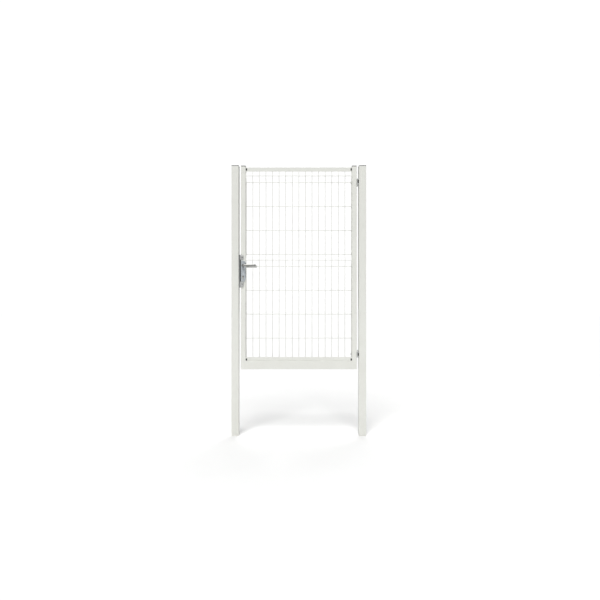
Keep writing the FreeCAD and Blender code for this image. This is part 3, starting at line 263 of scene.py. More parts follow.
def make_materials():
    """One material for each slot of the record; a darker grey for the levers, partly their own tone and
    partly painted shade; and a darker zinc for the keep's channel, which is painted shade.
    """
    coats = (("white_powder_coat", 0.00006), ("white_wire_coat", 0.00004))
    for name, peel_depth in coats:
        MATERIALS[name] = powder_coat(name, peel_depth)
    plastics = (
        ("grey_plastic", (0.028, 0.029, 0.030), (0.048, 0.049, 0.050), 0.00004, 0.55),
        ("black_plastic", (0.010, 0.010, 0.010), (0.022, 0.022, 0.022), 0.00003, 0.45),
        ("black_nylon", (0.008, 0.008, 0.008), (0.020, 0.020, 0.019), 0.00004, 0.5),
    )
    for name, dark, light, grain_depth, roughness in plastics:
        MATERIALS[name] = moulded_plastic(name, dark, light, grain_depth, roughness)
    MATERIALS["black_rubber"] = rubber("black_rubber")
    MATERIALS["galvanised_steel"] = galvanised("galvanised_steel")
    metals = (
        ("zinc_fasteners", (0.46, 0.47, 0.47), (0.60, 0.60, 0.59), (900.0, 900.0, 900.0), 0.30, 1.0),
        ("stainless_steel", (0.46, 0.46, 0.45), (0.58, 0.58, 0.56), (1400.0, 1400.0, 40.0), 0.30, 1.0),
        ("brass_nickel", (0.50, 0.49, 0.46), (0.62, 0.61, 0.57), (500.0, 500.0, 1500.0), 0.26, 1.0),
        ("satin_aluminium", (0.56, 0.60, 0.635), (0.65, 0.69, 0.725), (60.0, 900.0, 1600.0), 0.40, 0.85),
        # The levers' material is a darker copy of the satin aluminium: partly their own grey, partly painted
        # shade for the shaded tip.
        ("lever_grey_and_painted_shade", (0.27, 0.27, 0.262), (0.35, 0.35, 0.34), (60.0, 900.0, 900.0), 0.36, 0.9),
    )
    for name, dark, light, grain, roughness, metallic in metals:
        MATERIALS[name] = brushed_metal(name, dark, light, grain, roughness, metallic)
    # A darker copy of the zinc for the keep's channel: painted shade for the shadowed gap between the post
    # and the stile.
    MATERIALS["keep_channel_painted_shade"] = galvanised("keep_channel_painted_shade", 0.42)


# ---------------------------------------------------------------- mesh helpers

def add_piece(name, bm, body, slot, smooth_degrees=35.0, bevel=0.0, look=None):
    """Turn a bmesh into a finished piece; look names a material other than the slot's own."""
    bmesh.ops.remove_doubles(bm, verts=bm.verts, dist=WELD_DISTANCE)
    bmesh.ops.recalc_face_normals(bm, faces=bm.faces)
    mesh = bpy.data.meshes.new(name)
    bm.to_mesh(mesh)
    bm.free()
    piece = bpy.data.objects.new(name, mesh)
    bpy.context.scene.collection.objects.link(piece)
    mesh.shade_smooth()
    if bevel:
        soft = piece.modifiers.new("soft_edges", "BEVEL")
        soft.width = bevel
        soft.segments = BEVEL_SEGMENTS
        soft.limit_method = "ANGLE"
        soft.angle_limit = BEVEL_FROM
        soft.harden_normals = True
    else:
        mesh.set_sharp_from_angle(angle=math.radians(smooth_degrees))
    mesh.materials.append(MATERIALS[look or slot])
    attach(piece, body)
    return piece


def joined(parts):
    """One bmesh from several."""
    whole = bmesh.new()
    for part in parts:
        carrier = bpy.data.meshes.new("carrier")
        part.to_mesh(carrier)
        part.free()
        whole.from_mesh(carrier)
        bpy.data.meshes.remove(carrier)
    return whole


def ring_faces(bm, rings, close_ends=True):
    """Skin equal rings of vertices, with a face on each end."""
    count = len(rings[0])
    for low, high in zip(rings, rings[1:]):
        for i in range(count):
            j = (i + 1) % count
            bm.faces.new((low[i], low[j], high[j], high[i]))
    if close_ends:
        bm.faces.new(list(reversed(rings[0])))
        bm.faces.new(rings[-1])


def axis_turn(axis):
    """The rotation that takes +Z to the given direction."""
    return Vector((0, 0, 1)).rotation_difference(Vector(axis).normalized()).to_matrix()


def lathe(profile, centre, axis, sides=48):
    """A closed turned shape from (distance along the axis, radius) pairs, ends on the axis or capped."""
    bm = bmesh.new()
    turn = axis_turn(axis)
    rings = []
    for along, radius in profile:
        ring = []
        for i in range(sides):
            angle = 2 * math.pi * i / sides
            local = Vector((radius * math.cos(angle), radius * math.sin(angle), along))
            ring.append(bm.verts.new(turn @ local + Vector(centre)))
        rings.append(ring)
    ring_faces(bm, rings)
    return bm


def offset_polygon(points, inset):
    """The convex polygon with every edge moved inwards; the points run counter-clockwise."""
    lines = []
    for a, b in zip(points, points[1:] + points[:1]):
        along = (b - a).normalized()
        inward = Vector((-along.y, along.x))
        lines.append((a + inward * inset, along))
    result = []
    for (p, d), (q, e) in zip(lines[-1:] + lines[:-1], lines):
        cross = d.x * e.y - d.y * e.x
        t = ((q.x - p.x) * e.y - (q.y - p.y) * e.x) / cross
        result.append(p + d * t)
    return result


def rounded_polygon(points, radius, steps=6):
    """The polygon with a tangent arc at each corner."""
    result = []
    count = len(points)
    for i, corner in enumerate(points):
        before = points[i - 1] - corner
        after = points[(i + 1) % count] - corner
        half = before.angle(after) / 2
        reach = min(radius / math.tan(half), 0.45 * before.length, 0.45 * after.length)
        size = reach * math.tan(half)
        bisector = (before.normalized() + after.normalized()).normalized()
        centre = corner + bisector * (size / math.sin(half))
        start = corner + before.normalized() * reach - centre
        end = corner + after.normalized() * reach - centre
        sweep = start.angle_signed(end)
        for step in range(steps + 1):
            turned = start.copy()
            turned.rotate(Matrix.Rotation(-sweep * step / steps, 2))
            result.append(centre + turned)
    return result


def baked(piece):
    """Replace a piece's mesh by the result of its modifiers."""
    depsgraph = bpy.context.evaluated_depsgraph_get()
    mesh = bpy.data.meshes.new_from_object(piece.evaluated_get(depsgraph))
    old = piece.data
    piece.modifiers.clear()
    piece.data = mesh
    bpy.data.meshes.remove(old)
    return piece


def carved(bm, tools, operation="DIFFERENCE"):
    """A bmesh less, or crossed with, each tool bmesh in turn."""
    base = temporary(bm)
    for tool in tools:
        other = temporary(tool)
        cut = base.modifiers.new("cut", "BOOLEAN")
        cut.operation = operation
        cut.solver = "EXACT"
        cut.object = other
        baked(base)
        bpy.data.objects.remove(other)
    result = bmesh.new()
    result.from_mesh(base.data)
    bpy.data.objects.remove(base)
    return result


def temporary(bm):
    """An object that holds the bmesh while it is carved."""
    bmesh.ops.recalc_face_normals(bm, faces=bm.faces)
    mesh = bpy.data.meshes.new("working")
    bm.to_mesh(mesh)
    bm.free()
    made = bpy.data.objects.new("working", mesh)
    bpy.context.scene.collection.objects.link(made)
    return made


def block(low, high):
    """A plain block, for carving."""
    bm = bmesh.new()
    bmesh.ops.create_cube(bm, size=1.0)
    low, high = Vector(low), Vector(high)
    middle = (low + high) / 2
    size = high - low
    for vert in bm.verts:
        vert.co = Vector([vert.co[i] * size[i] + middle[i] for i in range(3)])
    return bm


def slot_of(node):
    """The material slot that the record gives a CAD node."""
    return next(s["material_slot"] for s in frame["record"]["subparts"] if s["node"] == node)


def body_of(node):
    """The body that a CAD node rides on."""
    return NODES[node]["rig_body"]


# ---------------------------------------------------------------- swept shapes

def circle_section(radius, sides=16):
    """A round section, for a swept shape."""
    return [
        (radius * math.cos(2 * math.pi * i / sides), radius * math.sin(2 * math.pi * i / sides))
        for i in range(sides)
    ]


def arced_path(corners, radius, steps=8):
    """Straight runs joined by tangent arcs of one radius, as points."""
    points = [corners[0]]
    for before, corner, after in zip(corners, corners[1:], corners[2:]):
        inward = (before - corner).normalized()
        outward = (after - corner).normalized()
        half_turn = (math.pi - inward.angle(outward)) / 2
        setback = radius * math.tan(half_turn)
        centre = corner + (inward + outward).normalized() * (radius / math.cos(half_turn))
        start = corner + inward * setback - centre
        end = corner + outward * setback - centre
        for step in range(steps + 1):
            points.append(centre + start.normalized().slerp(end.normalized(), step / steps) * radius)
    points.append(corners[-1])
    return points


def resampled(points, gap):
    """Points at an even spacing along a line through the given points."""
    result = [points[0]]
    carried = 0.0
    for a, b in zip(points, points[1:]):
        length = (b - a).length
        along = gap - carried
        while along <= length:
            result.append(a.lerp(b, along / length))
            along += gap
        carried = length - (along - gap)
    return result


def swept(points, section, side, scales=None):
    """A section of (across, side) offsets swept along a path that lies square to the side direction."""
    bm = bmesh.new()
    rings = []
    side = Vector(side)
    last = len(points) - 1
    for i, point in enumerate(points):
        along = (points[min(i + 1, last)] - points[max(i - 1, 0)]).normalized()
        across = side.cross(along)
        scale = scales[i] if scales else 1.0
        rings.append([bm.verts.new(point + across * a * scale + side * b * scale) for a, b in section])
    ring_faces(bm, rings)
    return bm


def weld_bead(start, end, radius, side, seed):
    """A run of weld: overlapping ripples of uneven width that fade out at both ends."""
    points = resampled([Vector(start), Vector(end)], 0.45 * MM)
    count = len(points)
    scales = []
    for i, point in enumerate(points):
        ripple = abs(math.sin(math.pi * i * 0.45 / 2.1))
        drift = noise.noise(Vector((i * 0.11, seed * 7.3, 0.5)))
        fade = min(1.0, math.sqrt(max(min(i, count - 1 - i), 0) / 5 + 0.02))
        scales.append(fade * (0.92 + 0.10 * ripple + 0.12 * drift))
        wander = Vector(side) * noise.noise(Vector((i * 0.09, seed * 3.1, 4.0))) * radius * 0.16
        points[i] = point + wander
    return swept(points, circle_section(radius, 10), side, scales)


# ---------------------------------------------------------------- wire mesh

FOLDS = (1461 * MM, 2161 * MM)
FOLD_HALF = 50 * MM
FOLD_DEPTH = 20 * MM
BEND_RADIUS = 14 * MM
UPRIGHT_RADIUS = 2.25 * MM
CROSS_RADIUS = 2.5 * MM
WIRE_PITCH = 55 * MM
UPRIGHTS = [i * WIRE_PITCH for i in range(-8, 9)]
PLAIN_ROWS = (811 * MM, 1011 * MM, 1211 * MM, 1711 * MM, 1911 * MM)
RIDGE_REACH = 19.2 * MM
FOOT_REACH = 0.4 * MM
SHEARED_LENGTH = 0.5 * MM
SHEARED_SCALE = 0.8
SHEARED_RADIUS = 2.0 * MM
NUGGET_SIZE = (2.75 * MM, 1.5 * MM, 2.75 * MM)
NUGGET_LUMPS = 0.22


def cross_rows():
    """Height and depth of every cross wire's axis."""
    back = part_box("vertical_wires")[1].y - UPRIGHT_RADIUS
    base = back - UPRIGHT_RADIUS - CROSS_RADIUS
    rows = [(z, base) for z in PLAIN_ROWS]
    for fold in FOLDS:
        rows.append((fold - FOLD_HALF, base - FOOT_REACH))
        rows.append((fold, base - RIDGE_REACH))
        rows.append((fold + FOLD_HALF, base - FOOT_REACH))
    return rows


def build_wires():
    """The upright wires with their folds, the straight cross wires, and a weld where two wires cross."""
    low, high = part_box("vertical_wires")
    back = high.y - UPRIGHT_RADIUS
    uprights = []
    for x in UPRIGHTS:
        corners = [Vector((x, back, low.z))]
        for fold in FOLDS:
            corners.append(Vector((x, back, fold - FOLD_HALF)))
            corners.append(Vector((x, back - FOLD_DEPTH, fold)))
            corners.append(Vector((x, back, fold + FOLD_HALF)))
        corners.append(Vector((x, back, high.z)))
        path = arced_path(corners, BEND_RADIUS)
        # The sheared ends are a little drawn in.
        drawn = Vector((0, 0, SHEARED_LENGTH))
        path = [path[0], path[0] + drawn, *path[1:-1], path[-1] - drawn, path[-1]]
        scales = [SHEARED_SCALE] + [1.0] * (len(path) - 2) + [SHEARED_SCALE]
        uprights.append(swept(path, circle_section(UPRIGHT_RADIUS), (1, 0, 0), scales))
    body = body_of("vertical_wires")
    piece = add_piece("upright_wires", joined(uprights), body, slot_of("vertical_wires"), 50)
    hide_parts("vertical_wires")

    low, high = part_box("horizontal_wires")
    length = high.x - low.x
    profile = [
        (0, SHEARED_RADIUS), (SHEARED_LENGTH, CROSS_RADIUS),
        (length - SHEARED_LENGTH, CROSS_RADIUS), (length, SHEARED_RADIUS),
    ]
    rods = []
    nuggets = []
    for row, (z, y) in enumerate(cross_rows()):
        rods.append(lathe(profile, (low.x, y, z), (1, 0, 0), 20))
        for x in UPRIGHTS:
            nuggets.append(weld_nugget(Vector((x, y + CROSS_RADIUS, z)), row))
    body = body_of("horizontal_wires")
    slot = slot_of("horizontal_wires")
    piece = add_piece("cross_wires", joined(rods), body, slot, 50)
    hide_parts("horizontal_wires")
    add_piece("weld_nuggets", joined(nuggets), body, slot, 80)


def weld_nugget(centre, row):
    """The squeezed metal where two crossing wires were welded, coated over."""
    bm = bmesh.new()
    bmesh.ops.create_icosphere(bm, subdivisions=3, radius=1.0)
    for vert in bm.verts:
        lump = 1.0 + NUGGET_LUMPS * noise.noise(vert.co * 1.9 + centre * 900.0 + Vector((row, 0, 0)))
        vert.co = centre + Vector([vert.co[i] * NUGGET_SIZE[i] for i in range(3)]) * lump
    return bm


# ---------------------------------------------------------------- frame of the leaf and the posts

CAP_CORNERS = {
    "latch_post_cap": 4.0 * MM,
    "hinge_post_cap": 4.0 * MM,
    "latch_stile_cap": 3.5 * MM,
    "hinge_stile_cap": 3.5 * MM,
}
TUBE_WALL = 2.2 * MM
CAP_PLUG = 18 * MM
LEAST_CORNER = 1.2 * MM
# Depth below the top and inset from the side, down the domed rim of a cap.
CAP_RIM = (
    (2.0 * MM, 0.0), (1.3 * MM, 0.2 * MM), (0.8 * MM, 0.65 * MM), (0.5 * MM, 1.4 * MM),
    (0.35 * MM, 3.0 * MM), (0.12 * MM, 9.0 * MM), (0.0, 15.0 * MM),
)
REAR_LEG = 18 * MM
CLIP_HEIGHT = 17 * MM
CLIP_GAP = 1.5 * MM
SIDE_BEAD = 2.2 * MM
UPPER_BEAD = 2.3 * MM
CORNER_BEAD = 2.6 * MM
CORNER_INSET = 1.4 * MM
BEAD_INSET = 3 * MM
STITCH_MIDDLES = (-0.39, -0.195, 0.0, 0.195, 0.39)
STITCH_HALF = 0.017


def build_caps():
    """The plug caps: a square plug inside the tube, and a thin domed lid on top of it."""
    for node, corner in CAP_CORNERS.items():
        low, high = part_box(node)
        foot = low.z + CAP_PLUG
        half = (high.x - low.x) / 2
        centre = Vector(((low.x + high.x) / 2, (low.y + high.y) / 2))
        square = [centre + Vector((sx * half, sy * half)) for sx, sy in ((-1, -1), (1, -1), (1, 1), (-1, 1))]
        profile = [
            (low.z, TUBE_WALL + 0.6 * MM), (low.z + 1.0 * MM, TUBE_WALL), (foot - 0.1 * MM, TUBE_WALL),
            (foot, 0.45 * MM), (foot + 0.5 * MM, 0.0),
        ]
        profile += [(high.z - depth, inset) for depth, inset in CAP_RIM]
        bm = bmesh.new()
        rings = []
        for z, inset in profile:
            outline = offset_polygon(square, inset) if inset else square
            loop = rounded_polygon(outline, max(corner - inset, LEAST_CORNER), 6)
            rings.append([bm.verts.new((p.x, p.y, z)) for p in loop])
        ring_faces(bm, rings)
        piece = add_piece(f"{node}_moulding", bm, body_of(node), slot_of(node), 40)
        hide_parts(node)


def build_weld_beads():
    """Coated weld runs where the rails and the mesh channel meet the stiles and each other."""
    rail_low, rail_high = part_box("bottom_rail")
    channel_low, channel_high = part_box("mesh_channel")
    top_low, top_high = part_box("top_rail")
    clip_low, clip_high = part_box("mesh_clips")
    rear_top = channel_low.z + REAR_LEG
    front_start = clip_low.z + CLIP_HEIGHT + CLIP_GAP
    runs = []

    def upright(x, y, bottom, top, radius):
        runs.append(((x, y, bottom), (x, y, top), radius, (1, 0, 0)))

    def level(x, box_low, box_high, z, radius):
        start = (x, box_low.y + BEAD_INSET, z)
        end = (x, box_high.y - BEAD_INSET, z)
        runs.append((start, end, radius, (1, 0, 0)))

    for x in (rail_low.x, rail_high.x):
        for y in (rail_low.y + CORNER_INSET, rail_high.y - CORNER_INSET):
            upright(x, y, rail_low.z + 2 * MM, rail_high.z - MM, CORNER_BEAD)
        level(x, rail_low, rail_high, rail_low.z + 0.8 * MM, SIDE_BEAD)
        level(x, top_low, top_high, top_high.z, UPPER_BEAD)
        upright(x, top_high.y, top_high.z - REAR_LEG, top_high.z - MM, SIDE_BEAD)
        upright(x, top_low.y, clip_high.z + CLIP_GAP, top_high.z - MM, SIDE_BEAD)
        upright(x, channel_high.y, channel_low.z + MM, rear_top, SIDE_BEAD)
        upright(x, channel_low.y, front_start, channel_high.z - MM, SIDE_BEAD)
    for y in (channel_low.y, channel_high.y):
        for middle in STITCH_MIDDLES:
            start = (middle - STITCH_HALF, y, channel_low.z)
            end = (middle + STITCH_HALF, y, channel_low.z)
            runs.append((start, end, UPPER_BEAD, (0, 0, 1)))
    beads = [weld_bead(*run, seed) for seed, run in enumerate(runs)]
    add_piece("frame_weld_beads", joined(beads), body_of("bottom_rail"), slot_of("bottom_rail"), 70)


# ---------------------------------------------------------------- fasteners

NUT_HALF_FLATS = 9 * MM
NUT_BORE = 6 * MM
NUT_CHAMFER = 1.1 * MM
NUT_FACE_RADIUS = 8.9 * MM
PAST_FACE = 0.1 * MM
BORE_OVERRUN = 2 * MM


def hex_socket(mouth, into, across_flats, depth):
    """A six-sided recess with a drill point, for carving from a screw head."""
    radius = across_flats / math.sqrt(3)
    return lathe([(-1 * MM, radius), (depth, radius), (depth + 0.8 * MM, 0.3 * radius)], mouth, into, 6)


def cross_recess(mouth, radius, depth):
    """A cross recess in a head that faces -X: two crossed tapering slots."""
    mouth = Vector(mouth)
    slots = []
    for across in (Vector((0, 1, 0)), Vector((0, 0, 1))):
        other = Vector((1, 0, 0)).cross(across)
        bm = bmesh.new()
        rings = []
        for x, reach, width in ((-1 * MM, radius, 0.55 * MM), (depth, radius * 0.45, 0.35 * MM)):
            centre = mouth + Vector((x, 0, 0))
            rings.append([
                bm.verts.new(centre + across * a * reach + other * b * width)
                for a, b in ((-1, -1), (1, -1), (1, 1), (-1, 1))
            ])
        ring_faces(bm, rings)
        slots.append(bm)
    return slots


def whole_mesh(node, angle=1.0):
    """The CAD node's mesh, welded, with its flat faces made whole."""
    bm = bmesh.new()
    bm.from_mesh(NODES[node].data)
    bmesh.ops.remove_doubles(bm, verts=bm.verts, dist=WELD_DISTANCE)
    bmesh.ops.dissolve_limit(bm, angle_limit=math.radians(angle), verts=bm.verts, edges=bm.edges)
    return bm


def refined(node, bevel, tools=()):
    """The CAD node's own shape with recesses carved in it and its edges broken as on the real piece."""
    bm = whole_mesh(node)
    if tools:
        bm = carved(bm, tools)
    piece = add_piece(f"{node}_finished", bm, body_of(node), slot_of(node), bevel=bevel)
    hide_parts(node)
    return piece


def build_hinges():
    """The forks, knuckles, pins and screws with broken edges, and the chamfered nuts."""
    for name in ("upper", "lower"):
        refined(f"{name}_hinge_fork", 0.7 * MM)
        refined(f"{name}_hinge_knuckle", 0.7 * MM)
        refined(f"{name}_hinge_pin", 0.6 * MM)
    refined("hinge_washers", 0.25 * MM)
    refined("hinge_circlips", 0.2 * MM)
    refined("knuckle_screws", 0.3 * MM)
    low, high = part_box("hinge_nuts")
    thickness = high.x - low.x
    radius = NUT_HALF_FLATS / math.cos(math.radians(30))
    nuts = []
    for name in ("upper", "lower"):
        fork_low, fork_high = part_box(f"{name}_hinge_fork")
        face = (high.x, (low.y + high.y) / 2, (fork_low.z + fork_high.z) / 2)
        prism = lathe([(0, radius), (thickness, radius)], face, (-1, 0, 0), 6)
        rounding = lathe(
            [
                (-PAST_FACE, NUT_FACE_RADIUS), (NUT_CHAMFER, radius + 0.05 * MM),
                (thickness - NUT_CHAMFER, radius + 0.05 * MM), (thickness + PAST_FACE, NUT_FACE_RADIUS),
            ],
            face, (-1, 0, 0), 48,
        )
        bore = lathe(
            [(-BORE_OVERRUN, NUT_BORE), (thickness + BORE_OVERRUN, NUT_BORE)], face, (-1, 0, 0), 48,
        )
        nuts.append(carved(carved(prism, [rounding], "INTERSECT"), [bore]))
    body = body_of("hinge_nuts")
    piece = add_piece("hinge_nuts_chamfered", joined(nuts), body, slot_of("hinge_nuts"), bevel=0.2 * MM)
    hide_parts("hinge_nuts")


KEEP_MARGIN = 50 * MM
LUG_CORNER = 4 * MM
LUG_THICKNESS = 4 * MM
LUG_END_INSET = 3 * MM
LOW_LUG_TOP = 48 * MM
HIGH_LUG_FOOT = 40 * MM
LUG_OVERLAP = 2.5 * MM
LUG_COAT = 0.25 * MM
PLUG_OFFSET = 1.5 * MM
# Distance from the face and radius, up the domed head of a pad's plug.
PLUG_HEAD = (
    (0.0, 3.2 * MM), (0.7 * MM, 3.1 * MM), (1.2 * MM, 2.5 * MM), (1.5 * MM, 1.5 * MM), (1.6 * MM, 0.5 * MM),
)
PLUG_TAIL = ((0.0, 2.6 * MM), (1.2 * MM, 2.6 * MM))


def build_keep():
    """The channel on the post, and the two stop lugs with the rubber plugs that hold their pads."""
    low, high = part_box("keep")
    pads_low, pads_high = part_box("keep_pads")
    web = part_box("keep_screws")[1].x
    body = body_of("keep")
    slot = slot_of("keep")
    margin = Vector((KEEP_MARGIN, KEEP_MARGIN, KEEP_MARGIN))
    far_corner = high + margin
    far_corner.x = web + 0.1 * MM
    channel = carved(whole_mesh("keep"), [block(low - margin, far_corner)], "INTERSECT")
    # The channel wears the darker zinc, which is painted shade for the gap it stands in.
    piece = add_piece("keep_channel", channel, body, slot, bevel=0.6 * MM, look="keep_channel_painted_shade")
    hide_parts("keep")

    start = web - LUG_OVERLAP
    front = low.y - LUG_COAT
    back = low.y + LUG_THICKNESS
    plug_x = (pads_low.x + pads_high.x) / 2 + PLUG_OFFSET
    spans = (
        (low.z + LUG_END_INSET, low.z + LOW_LUG_TOP),
        (high.z - HIGH_LUG_FOOT, high.z - LUG_END_INSET),
    )
    lugs = []
    plugs = []
    for foot, top in spans:
        outline = [Vector(corner) for corner in ((start, foot), (high.x, foot), (high.x, top), (start, top))]
        loop = rounded_polygon(outline, LUG_CORNER, 6)
        bm = bmesh.new()
        ring_faces(bm, [[bm.verts.new((p.x, y, p.y)) for p in loop] for y in (front, back)])
        lugs.append(bm)
        plug_z = (foot + top) / 2
        plugs.append(lathe(PLUG_HEAD, (plug_x, front, plug_z), (0, -1, 0), 32))
        plugs.append(lathe(PLUG_TAIL, (plug_x, back, plug_z), (0, 1, 0), 24))
    add_piece("keep_lugs", joined(lugs), body, slot, bevel=0.5 * MM)
    add_piece("keep_pad_plugs", joined(plugs), body, "black_rubber", 40)


KEEP_SCREW_INSET = 6 * MM
KEEP_SOCKET = (4 * MM, 2.2 * MM)
PLATE_BOLT_INSET = 4.5 * MM
PLATE_SOCKET = (3 * MM, 1.8 * MM)
FOREND_SCREW_INSET = 4 * MM
CROSS_REACH = 2.3 * MM
CROSS_DEPTH = 1.4 * MM


def build_lock():
    """The keep, the lock, its screws with their recesses, and the cover plates, all with broken edges."""
    low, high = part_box("keep_screws")
    middle = (low.y + high.y) / 2
    mouths = [(high.x, middle, z) for z in (low.z + KEEP_SCREW_INSET, high.z - KEEP_SCREW_INSET)]
    refined("keep_screws", 0.2 * MM, [hex_socket(mouth, (-1, 0, 0), *KEEP_SOCKET) for mouth in mouths])
    build_keep()
    refined("keep_pads", 0.7 * MM)
    low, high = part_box("forend_screws")
    tools = []
    for z in (low.z + FOREND_SCREW_INSET, high.z - FOREND_SCREW_INSET):
        tools += cross_recess((low.x, 0, z), CROSS_REACH, CROSS_DEPTH)
    refined("forend_screws", 0.1 * MM, tools)
    low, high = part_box("cylinder_screw")
    tools = cross_recess((low.x, 0, (low.z + high.z) / 2), CROSS_REACH, CROSS_DEPTH)
    refined("cylinder_screw", 0.1 * MM, tools)
    low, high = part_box("cover_plate_bolts")
    middle = (low.x + high.x) / 2
    mouths = [(middle, high.y, z) for z in (low.z + PLATE_BOLT_INSET, high.z - PLATE_BOLT_INSET)]
    tools = [hex_socket(mouth, (0, -1, 0), *PLATE_SOCKET) for mouth in mouths]
    refined("cover_plate_bolts", 0.2 * MM, tools)
    broken_edges = (
        ("lock_case", 0.3), ("latch_bolt", 0.5), ("dead_bolt", 0.5), ("lock_cylinder", 0.35),
        ("cylinder_plugs", 0.25), ("front_cover_plate", 0.35), ("rear_cover_plate", 0.35),
    )
    for node, bevel in broken_edges:
        refined(node, bevel * MM)


LEVER_BEND = 13 * MM
LEVER_RETURN = 9 * MM
LEVER_HALF_HEIGHT = 9.5 * MM
LEVER_HALF_DEPTH = 6.5 * MM
LEVER_SQUARENESS = 0.85
LEVER_TAPER = 0.08
LEVER_SIDES = 36
DOME_RINGS = 4
RING_GAP = 1.6 * MM
# Distance from the plate and radius along the neck, in millimetres.
NECK_PROFILE = (
    (0.0, 8.9), (0.6, 9.0), (5.0, 9.0), (5.4, 8.5), (6.0, 8.5),
    (6.4, 8.9), (12.0, 8.7), (17.0, 8.0), (19.0, 6.8), (19.6, 4.0),
)
BUSH_PROFILE = ((0.0, 9.2), (0.0, 10.6), (0.8, 10.9), (1.6, 10.4), (1.7, 9.2))


def lever_section():
    """A rounded rectangle with soft corners, as offsets across and along the grip's height."""
    section = []
    for i in range(LEVER_SIDES):
        angle = 2 * math.pi * i / LEVER_SIDES
        across = math.copysign(abs(math.cos(angle)) ** LEVER_SQUARENESS, math.cos(angle))
        upward = math.copysign(abs(math.sin(angle)) ** LEVER_SQUARENESS, math.sin(angle))
        section.append((LEVER_HALF_DEPTH * across, LEVER_HALF_HEIGHT * upward))
    return section


def lever_scales(count):
    """The grip's taper from the neck to the tip, and the dome that closes the tip."""
    scales = []
    for i in range(count):
        left = count - 1 - i
        dome = 1.0
        if left < DOME_RINGS:
            dome = math.sqrt(max(0.0, 1 - ((DOME_RINGS - left) / (DOME_RINGS + 0.02)) ** 2))
        scales.append((1.0 - LEVER_TAPER * i / (count - 1)) * dome)
    return scales


def build_levers():
    """Each lever: a turned neck with a collar, and a bowed grip of rounded section with a domed tip."""
    spindle_low, spindle_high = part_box("spindle")
    axis = (spindle_low + spindle_high) / 2
    for node, plate, out in (("front_lever", "front_cover_plate", -1), ("rear_lever", "rear_cover_plate", 1)):
        plate_low, plate_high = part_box(plate)
        face = plate_low.y if out < 0 else plate_high.y
        low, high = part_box(node)
        crest = low.y + LEVER_HALF_DEPTH if out < 0 else high.y - LEVER_HALF_DEPTH
        tip = high.x - LEVER_HALF_DEPTH
        start = Vector((axis.x, face - out * MM, axis.z))
        corners = [start, Vector((axis.x, crest, axis.z)), Vector((tip, crest, axis.z))]
        bend = arced_path(corners, LEVER_BEND, 14)
        # The tip curls back towards the leaf.
        curl_centre = Vector((tip - LEVER_RETURN, crest - out * LEVER_RETURN, axis.z))
        curl = []
        for i in range(11):
            angle = math.radians(9 * i)
            curl.append(curl_centre + Vector((math.sin(angle), out * math.cos(angle), 0)) * LEVER_RETURN)
        path = [point for point in bend[:-1] if point.x < curl_centre.x - MM]
        path = resampled([*path, *curl], RING_GAP)
        grip = swept(path, lever_section(), (0, 0, 1), lever_scales(len(path)))
        foot = (axis.x, face, axis.z)
        neck = lathe([(along * MM, radius * MM) for along, radius in NECK_PROFILE], foot, (0, out, 0), 48)
        casting = joined([grip, neck])
        # The lever wears the darker grey: partly its own tone, partly painted shade.
        piece = add_piece(f"{node}_casting", casting, body_of(node), slot_of(node), 42, look="lever_grey_and_painted_shade")
        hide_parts(node)
        ring = turned_ring(BUSH_PROFILE, foot, (0, out, 0))
        add_piece(f"{node}_bush", ring, body_of(node), "black_nylon", 35)


def build_spring():
    """The coil behind the latch bolt, on a mesh of its own."""
    node = "latch_spring"
    coil = add_piece("latch_spring_coil", whole_mesh(node), body_of(node), slot_of(node), 40)
    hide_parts(node)
    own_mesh(coil)


def turned_ring(profile_mm, centre, axis, sides=48):
    """A ring turned from a closed profile of (along, radius) pairs in millimetres."""
    bm = bmesh.new()
    turn = axis_turn(axis)
    rings = []
    for i in range(sides):
        angle = 2 * math.pi * i / sides
        ring = []
        for along, radius in profile_mm:
            local = Vector((radius * MM * math.cos(angle), radius * MM * math.sin(angle), along * MM))
            ring.append(bm.verts.new(turn @ local + Vector(centre)))
        rings.append(ring)
    ring_faces(bm, [*rings, rings[0]], False)
    return bm


# ---------------------------------------------------------------- stage

FLOOR_RADIUS = 40.0
FLOOR_GAP = 0.5 * MM
SEEN_WHITE = 1.05
FILL_STRENGTH = 0.12
FILL_COLOUR = (0.97, 0.985, 1.0, 1.0)
# Name, height and direction in degrees, softness in degrees, strength.
LIGHTS = (
    ("front_light", 54, -10, 30, 2.52),
    ("back_light", 54, 170, 40, 1.35),
)
CAMERA_SIDE = 0.0096
CAMERA_HEIGHT = 1.1295
CAMERA_DISTANCE = 3.6
SENSOR_WIDTH = 36.0
LENS = 26.0


def build_floor():
    """A pale floor that runs out past everything in view."""
    white = (0.955, 0.955, 0.95)
    off_white = (0.935, 0.935, 0.93)
    bm = bmesh.new()
    bmesh.ops.create_circle(bm, cap_ends=True, segments=96, radius=FLOOR_RADIUS)
    mesh = bpy.data.meshes.new("floor")
    bm.to_mesh(mesh)
    bm.free()
    floor = bpy.data.objects.new("floor", mesh)
    floor.location.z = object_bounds()[0][2] - FLOOR_GAP
    bpy.context.scene.collection.objects.link(floor)
    shade = Shade("pale_floor")
    colour = shade.mixed(shade.ranged(shade.noise(2.0, 3.0), 0.3, 0.7, 0.0, 1.0), white, off_white)
    rough = shade.ranged(shade.noise(30.0), 0.3, 0.7, 0.8, 0.9)
    grain = shade.bump(shade.noise(300.0), 0.00002, 0.3)
    shade.finish(colour, rough, grain, Specular_IOR_Level=0.1)
    mesh.materials.append(shade.material)


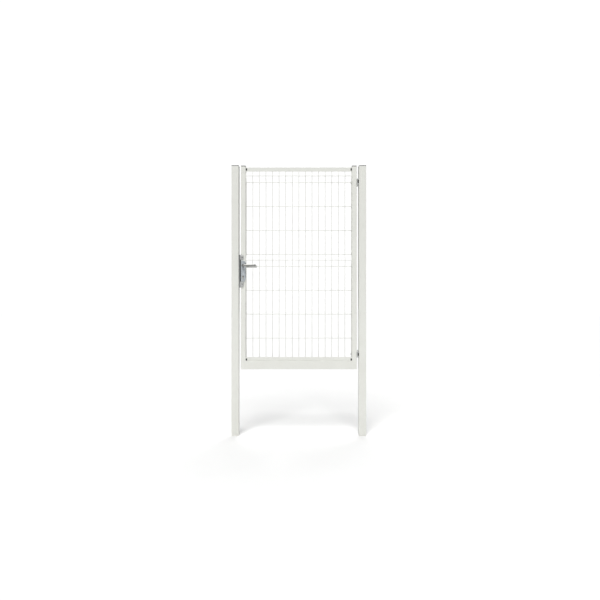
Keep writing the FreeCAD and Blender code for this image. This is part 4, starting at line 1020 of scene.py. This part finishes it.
def build_surround():
    """A white surround to look at, which lights the object only faintly."""
    world = bpy.data.worlds.new("studio")
    bpy.context.scene.world = world
    world.use_nodes = True
    tree = world.node_tree
    seen = tree.nodes["Background"]
    seen.inputs["Color"].default_value = (1.0, 1.0, 1.0, 1.0)
    seen.inputs["Strength"].default_value = SEEN_WHITE
    fill = tree.nodes.new("ShaderNodeBackground")
    fill.inputs["Color"].default_value = FILL_COLOUR
    fill.inputs["Strength"].default_value = FILL_STRENGTH
    path = tree.nodes.new("ShaderNodeLightPath")
    mix = tree.nodes.new("ShaderNodeMixShader")
    tree.links.new(path.outputs["Is Camera Ray"], mix.inputs[0])
    tree.links.new(fill.outputs[0], mix.inputs[1])
    tree.links.new(seen.outputs[0], mix.inputs[2])
    tree.links.new(mix.outputs[0], tree.nodes["World Output"].inputs[0])


def build_lights():
    """One broad light from above the camera's left shoulder and a weaker one from behind."""
    for name, elevation, azimuth, softness, strength in LIGHTS:
        data = bpy.data.lights.new(name, "SUN")
        data.energy = strength
        data.angle = math.radians(softness)
        lamp = bpy.data.objects.new(name, data)
        up = math.radians(elevation)
        around = math.radians(azimuth)
        source = Vector((math.sin(around) * math.cos(up), -math.cos(around) * math.cos(up), math.sin(up)))
        lamp.location = source * 8
        lamp.rotation_euler = source.to_track_quat("Z", "Y").to_euler()
        bpy.context.scene.collection.objects.link(lamp)


def build_camera():
    """The level camera, in front of the posts at about half their height."""
    data = bpy.data.cameras.new("camera")
    data.sensor_width = SENSOR_WIDTH
    data.lens = LENS
    camera = bpy.data.objects.new("camera", data)
    post_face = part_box("latch_post")[0].y
    camera.location = (CAMERA_SIDE, post_face - CAMERA_DISTANCE, CAMERA_HEIGHT)
    camera.rotation_euler = (math.radians(90), 0, 0)
    bpy.context.scene.collection.objects.link(camera)
    bpy.context.scene.camera = camera


def build_stage():
    bpy.context.scene.view_settings.view_transform = "Standard"
    build_floor()
    build_surround()
    build_lights()
    build_camera()


make_materials()
build_stage()
for node, piece in NODES.items():
    piece.data.materials.clear()
    piece.data.materials.append(MATERIALS[slot_of(node)])

build_wires()
build_caps()
build_weld_beads()
build_hinges()
build_lock()
build_levers()
build_spring()
refined("mesh_clips", 0.6 * MM)
